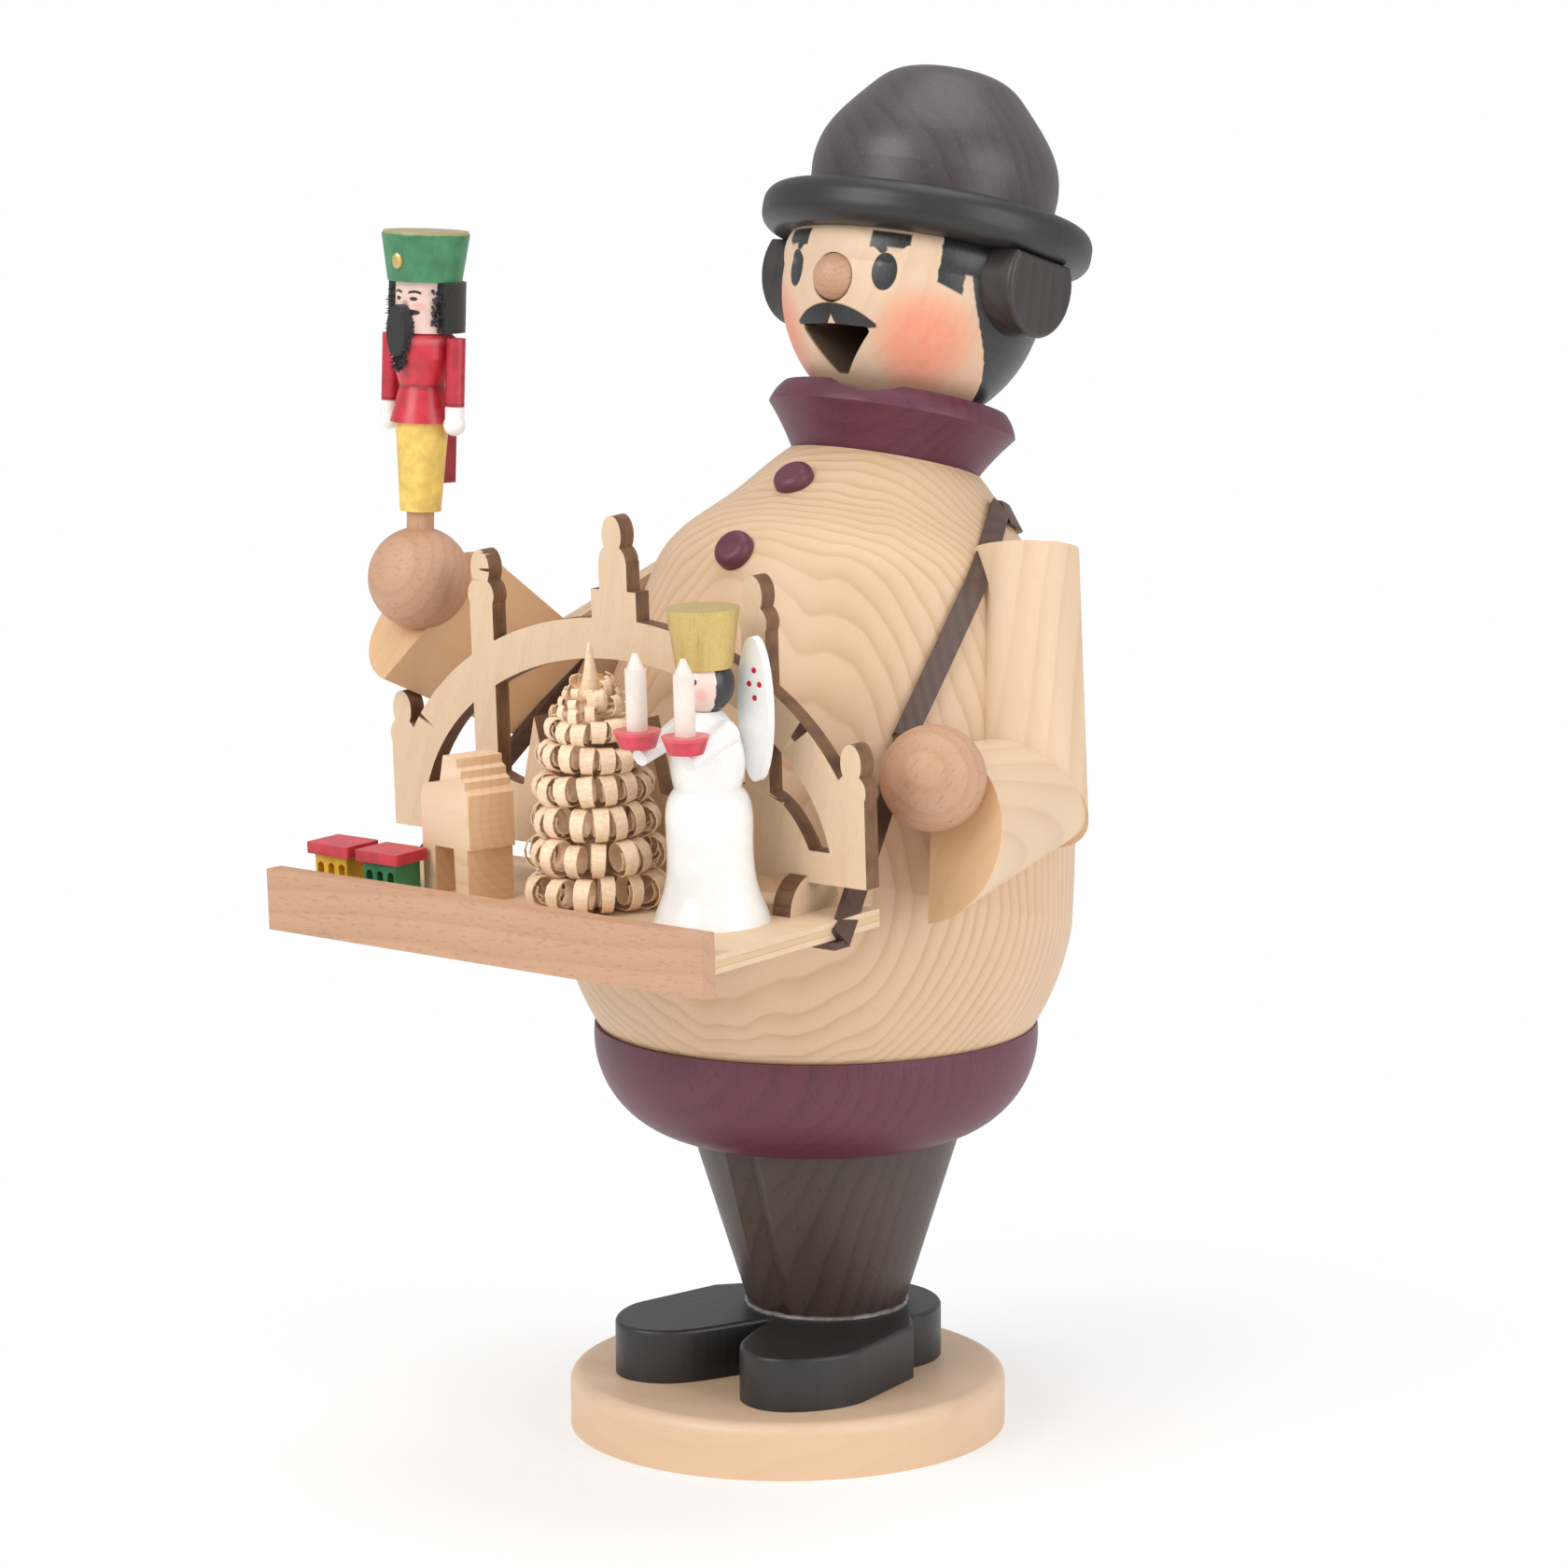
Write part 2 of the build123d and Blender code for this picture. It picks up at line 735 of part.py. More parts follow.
def arm(side, splay_angle, elbow_y, elbow_height, upper_angle, fore_angle, fore_length, slant, hand_rise):
    """Upper sleeve, fore sleeve, hand and dowel of one arm."""
    plane = sleeve_plane(side, splay_angle, elbow_y, elbow_height)
    upper_direction = sleeve_direction(plane, side, upper_angle)
    fore_direction = sleeve_direction(plane, side, fore_angle)
    seam_direction = (upper_direction + fore_direction).normalized()
    mitre_normal = seam_direction.cross(plane.z_dir)
    if mitre_normal.dot(upper_direction) < 0:
        mitre_normal = mitre_normal * -1
    mitre = Plane(plane.origin, x_dir=plane.z_dir, z_dir=mitre_normal)
    wrist_centre = plane.origin + fore_direction * fore_length
    wrist_turn = fore_angle - slant * side if side > 0 else fore_angle - slant
    wrist_normal = sleeve_direction(plane, side, wrist_turn)
    wrist_up = plane.z_dir.cross(wrist_normal) * -side
    hand_centre = (
        wrist_centre
        + wrist_normal * hand_forward
        + wrist_up * hand_rise
        + plane.z_dir * hand_out
    )
    dowel_spot = plane.origin + upper_direction * (sleeve_upper_length / 2)

    with BuildPart() as hand:
        with Locations(hand_centre):
            Sphere(hand_radius)

    with BuildPart() as dowel:
        with BuildSketch(Plane(dowel_spot + plane.z_dir * arm_dowel_sleeve_depth, z_dir=plane.z_dir)):
            Circle(arm_dowel_radius)
        extrude(amount=-arm_dowel_length)

    upper = half_round(
        plane, upper_direction, sleeve_upper_length, sleeve_elbow_radius, sleeve_shoulder_radius, sleeve_corner
    )
    with upper:
        split(bisect_by=mitre, keep=Keep.TOP)
        add(coat_solid, mode=Mode.SUBTRACT)
        add(dowel.part, mode=Mode.SUBTRACT)

    flare = (sleeve_wrist_radius - sleeve_elbow_radius) / fore_length
    reach = fore_length + sleeve_wrist_radius * 0.6
    fore = half_round(
        plane, fore_direction, reach, sleeve_elbow_radius, sleeve_elbow_radius + flare * reach, 0
    )
    with fore:
        split(bisect_by=mitre, keep=Keep.BOTTOM)
        split(bisect_by=Plane(wrist_centre, x_dir=plane.z_dir, z_dir=wrist_normal), keep=Keep.BOTTOM)
        add(coat_solid, mode=Mode.SUBTRACT)
        add(hand.part, mode=Mode.SUBTRACT)
    return upper, fore, hand, dowel


upper_sleeve_left, fore_sleeve_left, hand_left, arm_dowel_left = arm(
    1, left_splay, left_elbow_y, left_elbow_height, left_upper_angle, left_fore_angle,
    left_fore_length, left_wrist_slant, left_hand_rise,
)
upper_sleeve_right, fore_sleeve_right, hand_right, arm_dowel_right = arm(
    -1, right_splay, right_elbow_y, right_elbow_height, right_upper_angle, right_fore_angle,
    right_fore_length, right_wrist_slant, right_hand_rise,
)
with coat_body:
    add(arm_dowel_left.part, mode=Mode.SUBTRACT)
    add(arm_dowel_right.part, mode=Mode.SUBTRACT)

# Tray: plywood board behind a beech strip
tray_origin = Vector(0, tray_front_y, tray_height)
tray_up = Vector(0, -sin(radians(tray_pitch)), cos(radians(tray_pitch)))
tray_back = Vector(0, cos(radians(tray_pitch)), sin(radians(tray_pitch)))
tray_plane = Plane(tray_origin, x_dir=(1, 0, 0), z_dir=tray_up)
ply_top = tray_ply_rise + tray_ply_thickness


def tray_level(height):
    """Plane parallel to the tray at a height above the underside of its front strip."""
    return tray_plane.offset(height)


with BuildPart() as tray_front_strip:
    with BuildSketch(tray_plane):
        Rectangle(tray_width, tray_strip_thickness, align=(Align.CENTER, Align.MIN))
    extrude(amount=tray_strip_height)

with BuildPart() as tray_board:
    with BuildSketch(tray_level(tray_ply_rise)):
        with Locations((0, tray_strip_thickness)):
            Rectangle(tray_width, tray_depth - tray_strip_thickness, align=(Align.CENTER, Align.MIN))
    extrude(amount=tray_ply_thickness)
    add(coat_solid, mode=Mode.SUBTRACT)

# Candle arch, drawn in the plane of its front face
arch_base = ply_top + arch_foot_lift
arch_origin = tray_origin + tray_up * arch_base + tray_back * arch_y
arch_face = Plane(arch_origin, x_dir=(1, 0, 0), z_dir=-tray_back)
arch_edge_x = arch_half_width - arch_post_width / 2
arch_posts = [
    (-arch_edge_x, arch_outer_finial_height),
    (-arch_post_pitch, arch_inner_finial_height),
    (arch_post_pitch, arch_inner_finial_height),
    (arch_edge_x, arch_outer_finial_height),
]


def finial(x, height):
    """Turned-candle outline on top of a post: narrow neck, bulb and rounded tip."""
    with Locations((x, height - arch_bulb_radius * 2.6)):
        Circle(arch_bulb_radius)
    with Locations((x, height - arch_bulb_radius * 1.1)):
        Ellipse(arch_bulb_radius * 0.72, arch_bulb_radius * 1.1)


with BuildPart() as candle_arch:
    with BuildSketch(arch_face) as arch_sketch:
        with Locations((0, 0)):
            Ellipse(arch_half_width, arch_inner_height + arch_band)
            Ellipse(arch_half_width - arch_band, arch_inner_height, mode=Mode.SUBTRACT)
        with Locations((0, 0)):
            Rectangle(
                2 * arch_half_width + arch_bulb_radius,
                2 * arch_top_finial_height,
                align=(Align.CENTER, Align.MAX),
                mode=Mode.SUBTRACT,
            )
            Rectangle(2 * arch_half_width, arch_rail_height, align=(Align.CENTER, Align.MIN))
        for post_x, post_height in arch_posts:
            with Locations((post_x, 0)):
                Rectangle(
                    arch_post_width,
                    post_height - arch_bulb_radius * 2.6,
                    align=(Align.CENTER, Align.MIN),
                )
            finial(post_x, post_height)
        with Locations((0, arch_inner_height)):
            Rectangle(
                arch_top_post_width,
                arch_top_finial_height - arch_inner_height - arch_bulb_radius * 2.6,
                align=(Align.CENTER, Align.MIN),
            )
            Rectangle(
                arch_top_step_width,
                arch_band + arch_top_step_height,
                align=(Align.CENTER, Align.MIN),
            )
        finial(0, arch_top_finial_height)
        hill_shares = [(-0.80, 0.0), (-0.62, 0.30), (-0.40, 0.22), (-0.12, 0.42), (0.20, 0.26), (0.48, 0.36), (0.80, 0.0)]
        with BuildLine():
            hill = Spline(
                *[(x * arch_half_width, arch_rail_height / 2 + y * arch_inner_height) for x, y in hill_shares]
            )
            Line(hill @ 1, hill @ 0)
        make_face()
        for tree_share, height_share in ((-0.36, 0.66), (-0.12, 0.84), (0.12, 0.72), (0.38, 0.62)):
            with BuildLine():
                fir_x = tree_share * arch_half_width
                fir_top = height_share * arch_inner_height
                fir_foot = 0.12 * arch_inner_height
                fir_half = 0.085 * arch_half_width
                Polyline(
                    (fir_x - fir_half, fir_foot),
                    (fir_x, fir_top),
                    (fir_x + fir_half, fir_foot),
                    close=True,
                )
            make_face()
    extrude(amount=-arch_thickness)


def arch_foot(x):
    """Half disc that straddles the arch and lifts it off the tray."""
    foot_centre = tray_origin + tray_up * ply_top + tray_back * (arch_y + arch_thickness / 2)
    foot_plane = Plane(foot_centre + Vector(x, 0, 0), x_dir=tray_back, z_dir=(1, 0, 0))
    with BuildPart() as foot:
        with BuildSketch(foot_plane):
            with BuildLine():
                ground = Line((-arch_foot_radius, 0), (arch_foot_radius, 0))
                ThreePointArc(ground @ 1, (0, arch_foot_radius), ground @ 0)
            make_face()
        extrude(amount=arch_foot_thickness / 2, both=True)
        add(candle_arch.part, mode=Mode.SUBTRACT)
    return foot


arch_foot_left = arch_foot(arch_foot_pitch)
arch_foot_right = arch_foot(-arch_foot_pitch)


def toy_house(x, y):
    """Little market stall: a slotted block, and its flat roof as a second piece."""
    with BuildPart() as house:
        with BuildSketch(tray_level(ply_top)):
            with Locations((x, y)):
                Rectangle(toy_house_width, toy_house_depth)
        extrude(amount=toy_house_height)
        front_face = Plane(
            tray_origin + tray_up * ply_top + tray_back * (y - toy_house_depth / 2) + Vector(x, 0, 0),
            x_dir=(1, 0, 0),
            z_dir=-tray_back,
        )
        with BuildSketch(front_face):
            with GridLocations(toy_house_width / 3, 0, 3, 1):
                with Locations((0, toy_house_height - toy_slot_height / 2 - toy_slot_width)):
                    SlotOverall(toy_slot_height, toy_slot_width, rotation=90)
        extrude(amount=-toy_slot_depth, mode=Mode.SUBTRACT)
    with BuildPart() as roof:
        with BuildSketch(tray_level(ply_top + toy_house_height)):
            with Locations((x, y)):
                RectangleRounded(toy_roof_width, toy_roof_depth, toy_roof_corner)
        extrude(amount=toy_roof_height)
    return house, roof


toy_house_yellow, toy_roof_yellow = toy_house(toy_yellow_x, toy_yellow_y)
toy_house_green, toy_roof_green = toy_house(toy_green_x, toy_green_y)

# Ring-turned animal: one profile, as split from a turned hoop
animal_shares = [
    (0.50, 0.0), (0.50, 0.38), (0.56, 0.38), (0.56, 0.76), (0.50, 0.80), (0.50, 0.85), (0.42, 0.87),
    (0.42, 0.92), (0.34, 0.94), (0.34, 1.0), (0.04, 1.0), (-0.06, 0.80), (-0.44, 0.76), (-0.50, 0.66),
    (-0.50, 0.0), (-0.24, 0.0), (-0.22, 0.34), (0.20, 0.36), (0.22, 0.0),
]
with BuildPart() as ring_turned_animal:
    animal_place = tray_origin + tray_up * ply_top + tray_back * animal_y + Vector(animal_x, 0, 0)
    animal_forward = Vector(1, 0, 0) * cos(radians(animal_turn)) + tray_back * sin(radians(animal_turn))
    animal_plane = Plane(animal_place, x_dir=animal_forward, z_dir=animal_forward.cross(tray_up))
    with BuildSketch(animal_plane):
        with BuildLine():
            Polyline(*[(x * animal_length, y * animal_height) for x, y in animal_shares], close=True)
        make_face()
    extrude(amount=animal_thickness / 2, both=True)

# Curl tree: a stick with tiers of shavings rolled outwards
tree_place = tray_origin + tray_up * ply_top + tray_back * tree_y + Vector(tree_x, 0, 0)
tree_plane = Plane(tree_place, x_dir=(1, 0, 0), z_dir=tray_up)
tree_axis = Axis(tree_place, tray_up)
tree_face = Plane(tree_place, x_dir=(1, 0, 0), z_dir=-tray_back)
with BuildPart() as curl_tree:
    with BuildSketch(tree_face):
        with BuildLine():
            Polyline(
                (0, 0),
                (tree_stem_radius, 0),
                (tree_stem_radius, tree_height - tree_tip_length),
                (tree_tip_radius, tree_height - tree_tip_length),
                (tree_tip_radius * 0.3, tree_height),
                (0, tree_height),
                close=True,
            )
        make_face()
    revolve(axis=tree_axis)
    for tier in range(tree_tier_count):
        tier_share = tier / (tree_tier_count - 1)
        tier_radius = tree_low_radius + (tree_top_radius - tree_low_radius) * tier_share
        curl_radius = min(tree_tier_height / 2, (tier_radius - tree_stem_radius) / 2)
        with BuildSketch(tree_face):
            with Locations((tier_radius - curl_radius, tree_tier_height * tier + curl_radius)):
                Circle(curl_radius)
            with Locations((tree_stem_radius, tree_tier_height * tier + curl_radius)):
                Rectangle(tier_radius - curl_radius, curl_radius, align=(Align.MIN, Align.CENTER))
        revolve(axis=tree_axis)


# Angel, turned body with separate arms, wings, head, crown and candles
def angel_point(x, y, z):
    """Point given beside, behind and above the angel's foot on the tray."""
    return tray_origin + tray_up * (ply_top + z) + tray_back * (angel_y + y) + Vector(angel_x + x, 0, 0)


angel_face = Plane(angel_point(0, 0, 0), x_dir=(1, 0, 0), z_dir=-tray_back)
angel_axis = Axis(angel_point(0, 0, 0), tray_up)
angel_head_height = angel_shoulder_height + angel_head_radius * 0.9
angel_crown_floor = angel_head_height + angel_head_radius * 0.55
with BuildPart() as angel_body:
    with BuildSketch(angel_face):
        with BuildLine():
            hem_line = Line((0, 0), (angel_hem_radius, 0))
            skirt = Spline(
                hem_line @ 1,
                (angel_hem_radius * 0.86, angel_hem_height * 0.17),
                (angel_hem_radius * 0.74, angel_hem_height * 0.65),
                (angel_waist_radius, angel_hem_height),
                tangents=[(-0.2, 1), (-1, 0.9)],
            )
            bodice = ThreePointArc(
                skirt @ 1,
                (angel_chest_radius, (angel_hem_height + angel_shoulder_height) / 2),
                (angel_neck_radius, angel_shoulder_height),
            )
            Line(bodice @ 1, (0, angel_shoulder_height))
            Line((0, angel_shoulder_height), hem_line @ 0)
        make_face()
    revolve(axis=angel_axis)

with BuildPart() as angel_head:
    with Locations(angel_point(0, 0, angel_head_height)):
        Sphere(angel_head_radius)
    split(bisect_by=tray_level(ply_top + angel_shoulder_height), keep=Keep.TOP)
    split(bisect_by=tray_level(ply_top + angel_crown_floor), keep=Keep.BOTTOM)

with BuildPart() as angel_crown:
    with BuildSketch(tray_level(ply_top + angel_crown_floor)):
        with Locations((angel_x, angel_y)):
            Circle(angel_crown_low_radius)
    with BuildSketch(tray_level(ply_top + angel_crown_floor + angel_crown_height)):
        with Locations((angel_x, angel_y)):
            Circle(angel_crown_top_radius)
    loft()

with BuildPart() as angel_arms:
    for side in (-1, 1):
        shoulder = angel_point(side * angel_chest_radius * 0.8, 0, angel_arm_rise + angel_arm_radius)
        wrist = angel_point(side * angel_arm_spread, -angel_arm_length, angel_arm_rise - angel_arm_radius)
        with BuildSketch(Plane(shoulder, z_dir=wrist - shoulder)):
            Circle(angel_arm_radius * 1.25)
        with BuildSketch(Plane(wrist, z_dir=wrist - shoulder)):
            Circle(angel_arm_radius * 0.8)
        loft()
    add(angel_body.part, mode=Mode.SUBTRACT)

dish_height = angel_arm_rise
with BuildPart() as angel_dishes:
    for side in (-1, 1):
        dish_low = angel_point(side * angel_arm_spread, -angel_arm_length - angel_dish_radius * 0.1, dish_height)
        dish_high = dish_low + tray_up * angel_dish_height
        with BuildSketch(Plane(dish_low, x_dir=(1, 0, 0), z_dir=tray_up)):
            Circle(angel_dish_radius * 0.75)
        with BuildSketch(Plane(dish_high, x_dir=(1, 0, 0), z_dir=tray_up)):
            Circle(angel_dish_radius)
        loft()
    add(angel_arms.part, mode=Mode.SUBTRACT)

with BuildPart() as angel_candles:
    for side in (-1, 1):
        candle_foot = angel_point(
            side * angel_arm_spread, -angel_arm_length - angel_dish_radius * 0.1, dish_height + angel_dish_height
        )
        candle_plane = Plane(candle_foot, x_dir=(1, 0, 0), z_dir=tray_up)
        with BuildSketch(candle_plane):
            Circle(angel_candle_radius)
        extrude(amount=angel_candle_height * 0.8)
        with BuildSketch(candle_plane.offset(angel_candle_height * 0.8)):
            Circle(angel_candle_radius * 0.85)
        with BuildSketch(candle_plane.offset(angel_candle_height)):
            Circle(angel_candle_radius * 0.25)
        loft()

with BuildPart() as angel_wings:
    for side in (-1, 1):
        wing_plane = Plane(
            angel_point(side * angel_wing_spread, angel_chest_radius * 0.75, angel_shoulder_height),
            x_dir=(1, 0, 0),
            z_dir=-tray_back,
        )
        with BuildSketch(wing_plane):
            Ellipse(angel_wing_width / 2, angel_wing_length / 2)
        extrude(amount=-angel_wing_thickness)
    yoke = Plane(
        angel_point(0, angel_chest_radius * 0.75, angel_shoulder_height - angel_wing_length * 0.3),
        x_dir=(1, 0, 0),
        z_dir=-tray_back,
    )
    with BuildSketch(yoke):
        Rectangle(angel_wing_spread * 2, angel_wing_width / 2)
    extrude(amount=-angel_wing_thickness)
    add(angel_body.part, mode=Mode.SUBTRACT)

# Toy nutcracker standing on the right hand
right_hand_centre = hand_right.part.center()
cracker_up = Vector(0, 0, 1).rotate(Axis.Y, cracker_lean * 0.77).rotate(Axis.X, -cracker_lean * 0.64)
cracker_foot = right_hand_centre + cracker_up * hand_radius
cracker_plane = Plane(cracker_foot, x_dir=(1, 0, 0), z_dir=cracker_up)
cracker_leg_floor = cracker_peg_height
cracker_torso_floor = cracker_leg_floor + cracker_leg_height
cracker_head_floor = cracker_torso_floor + cracker_torso_height
cracker_cap_floor = cracker_head_floor + cracker_head_height
cracker_face = Plane(cracker_foot, x_dir=cracker_plane.x_dir, z_dir=cracker_plane.y_dir * -1)
cracker_axis = Axis(cracker_foot, cracker_up)


def turned(points):
    """Piece turned about the nutcracker's axis from an outline of radius and height."""
    with BuildPart() as piece:
        with BuildSketch(cracker_face):
            with BuildLine():
                Polyline((0, points[0][1]), *points, (0, points[-1][1]), close=True)
            make_face()
        revolve(axis=cracker_axis)
    return piece


nutcracker_peg = turned([(cracker_peg_radius, -hand_radius * 0.3), (cracker_peg_radius, cracker_leg_floor)])
with nutcracker_peg:
    add(hand_right.part, mode=Mode.SUBTRACT)
nutcracker_trousers = turned([
    (cracker_leg_low_radius, cracker_leg_floor),
    (cracker_leg_top_radius, cracker_torso_floor),
])
nutcracker_coat = turned([
    (cracker_skirt_radius, cracker_torso_floor),
    (cracker_waist_radius, cracker_torso_floor + cracker_torso_height * 0.40),
    (cracker_chest_radius, cracker_torso_floor + cracker_torso_height * 0.72),
    (cracker_chest_radius, cracker_torso_floor + cracker_torso_height * 0.94),
    (cracker_head_radius * 0.9, cracker_head_floor),
])
nutcracker_head = turned([
    (cracker_head_radius, cracker_head_floor),
    (cracker_head_radius, cracker_cap_floor),
])
nutcracker_cap = turned([
    (cracker_cap_low_radius, cracker_cap_floor),
    (cracker_cap_top_radius, cracker_cap_floor + cracker_cap_height * 0.93),
    (cracker_cap_top_radius * 0.96, cracker_cap_floor + cracker_cap_height),
])

with BuildPart() as nutcracker_arms:
    for side in (-1, 1):
        arm_top = cracker_face.from_local_coords(
            (side * cracker_arm_spread, cracker_torso_floor + cracker_torso_height * 0.96, 0)
        )
        with BuildSketch(Plane(arm_top, z_dir=cracker_up * -1)):
            Circle(cracker_arm_radius)
        extrude(amount=cracker_arm_length)
        with Locations(arm_top - cracker_up * cracker_arm_length):
            Sphere(cracker_arm_radius * 1.15)
    add(nutcracker_coat.part, mode=Mode.SUBTRACT)

with BuildPart() as nutcracker_coat_tail:
    tail_place = cracker_face.from_local_coords((0, cracker_torso_floor, -cracker_leg_top_radius))
    with BuildSketch(Plane(tail_place, x_dir=cracker_plane.x_dir, z_dir=cracker_up * -1)):
        Rectangle(cracker_tail_width, cracker_tail_thickness * 2)
    extrude(amount=cracker_tail_length)
    add(nutcracker_trousers.part, mode=Mode.SUBTRACT)

with BuildPart() as nutcracker_hair:
    with BuildSketch(cracker_face):
        with BuildLine():
            Polyline(
                (cracker_head_radius, cracker_head_floor + glue_gap),
                (cracker_head_radius + cracker_hair_thickness, cracker_head_floor + glue_gap),
                (cracker_head_radius + cracker_hair_thickness, cracker_cap_floor - glue_gap),
                (cracker_head_radius, cracker_cap_floor - glue_gap),
                close=True,
            )
        make_face()
    revolve(axis=cracker_axis)
    split(bisect_by=cracker_face.offset(cracker_head_radius * 0.35), keep=Keep.BOTTOM)

with BuildPart() as nutcracker_beard:
    beard_top = cracker_face.from_local_coords(
        (0, cracker_head_floor + cracker_head_height * 0.3, cracker_head_radius)
    )
    beard_plane = Plane(beard_top, x_dir=cracker_plane.x_dir, z_dir=cracker_face.z_dir)
    with BuildSketch(beard_plane):
        with Locations((0, -cracker_beard_length * 0.3)):
            Ellipse(cracker_beard_width / 2, cracker_beard_length * 0.62)
    extrude(amount=cracker_hair_thickness)
    with BuildSketch(beard_plane):
        Rectangle(cracker_beard_width * 0.6, cracker_beard_width * 0.5)
    extrude(amount=-cracker_head_radius * 0.4)
    add(nutcracker_head.part, mode=Mode.SUBTRACT)
    add(nutcracker_coat.part, mode=Mode.SUBTRACT)

# Strap: one lace round the back of the neck, down both sides of the coat and out to the tray
strap_lining = coat_outline(glue_gap).part
strap_shell = coat_outline(glue_gap + strap_thickness)
with strap_shell:
    add(strap_lining, mode=Mode.SUBTRACT)


def coat_point(drop, azimuth):
    """Point on the coat, a distance down from the neck, the azimuth turned from the front to the left."""
    probe = neck_point - lean_up * drop
    outward = lean_front * cos(radians(azimuth)) + Vector(1, 0, 0) * sin(radians(azimuth))
    hits = coat_solid.find_intersection_points(Axis(probe, outward))
    return max(hits, key=lambda hit: (hit[0] - probe).dot(outward))[0]


def strap_block(start, end, outward, depth, lift):
    """Straight block as wide as the strap between two points, its thickness along outward."""
    along = (end - start).normalized()
    across = along.cross(outward).normalized()
    away = across.cross(along).normalized()
    with BuildPart() as block:
        with BuildSketch(Plane(start + away * lift, x_dir=away, z_dir=along)):
            Rectangle(depth, strap_width)
        extrude(amount=(end - start).length)
    return block


def strap_band(top, middle, end):
    """Length of strap that lies on the coat between two points, in the plane of all three."""
    normal = (middle - top).cross(end - middle).normalized()
    outward = normal.cross((end - top).normalized())
    if outward.dot(middle - belly_centre) < 0:
        outward = outward * -1
    block = strap_block(top, end, outward, shoulder_radius, 0)
    with BuildPart() as band:
        add(strap_shell.part)
        add(block.part, mode=Mode.INTERSECT)
    return band


strap_top_left = coat_point(strap_top_drop, strap_top_azimuth)
strap_top_right = coat_point(strap_top_drop, -strap_top_azimuth)
strap_middle_left = coat_point(strap_left_middle_drop, strap_left_middle_azimuth)
strap_middle_right = coat_point(strap_right_middle_drop, -strap_right_middle_azimuth)
strap_leave_left = coat_point(strap_left_leave_drop, strap_left_leave_azimuth)
strap_leave_right = coat_point(strap_right_leave_drop, -strap_right_leave_azimuth)
strap_band_left = strap_band(strap_top_left, strap_middle_left, strap_leave_left)
strap_band_right = strap_band(strap_top_right, strap_middle_right, strap_leave_right)


def tray_point(x, y, z):
    """Point given in the tray's own width, depth and height."""
    return tray_origin + Vector(x, 0, 0) + tray_back * y + tray_up * z


def strap_run(side, leave, tray_y):
    """Straight run from the coat to the tray's side, and the end turned under the plywood."""
    edge_x = side * (tray_width / 2 + glue_gap)
    hook = tray_point(edge_x, tray_y, tray_ply_rise)
    normal = leave - (neck_point - lean_up * (neck_point - leave).dot(lean_up))
    outward = (normal.normalized() + Vector(side, 0, 0)).normalized()
    run = strap_block(leave, hook, outward, strap_thickness, strap_thickness / 2 + glue_gap)
    tab_start = tray_point(side * (tray_width / 2 - strap_tab_length), tray_y, tray_ply_rise - glue_gap)
    tab_end = tray_point(edge_x + side * strap_thickness, tray_y, tray_ply_rise - glue_gap)
    tab = strap_block(tab_start, tab_end, tray_up * -1, strap_thickness, strap_thickness / 2)
    with BuildPart() as length:
        add(run.part)
        add(tab.part)
    return length


strap_run_left = strap_run(1, strap_leave_left, strap_left_tray_y)
strap_run_right = strap_run(-1, strap_leave_right, strap_right_tray_y)
with BuildPart() as strap:
    with BuildSketch(lean_level.offset(-strap_top_drop)):
        Circle(shoulder_radius)
    extrude(amount=strap_width / 2, both=True)
    add(strap_shell.part, mode=Mode.INTERSECT)
    split(bisect_by=Plane(strap_top_left, x_dir=(1, 0, 0), z_dir=lean_front), keep=Keep.BOTTOM)
    add(strap_band_left.part)
    add(strap_band_right.part)
    add(strap_run_left.part)
    add(strap_run_right.part)
    add(strap_lining, mode=Mode.SUBTRACT)
    add(tray_board.part, mode=Mode.SUBTRACT)
    add(collar.part, mode=Mode.SUBTRACT)

for sleeve in (upper_sleeve_left, upper_sleeve_right, fore_sleeve_left, fore_sleeve_right):
    with sleeve:
        add(strap.part, mode=Mode.SUBTRACT)

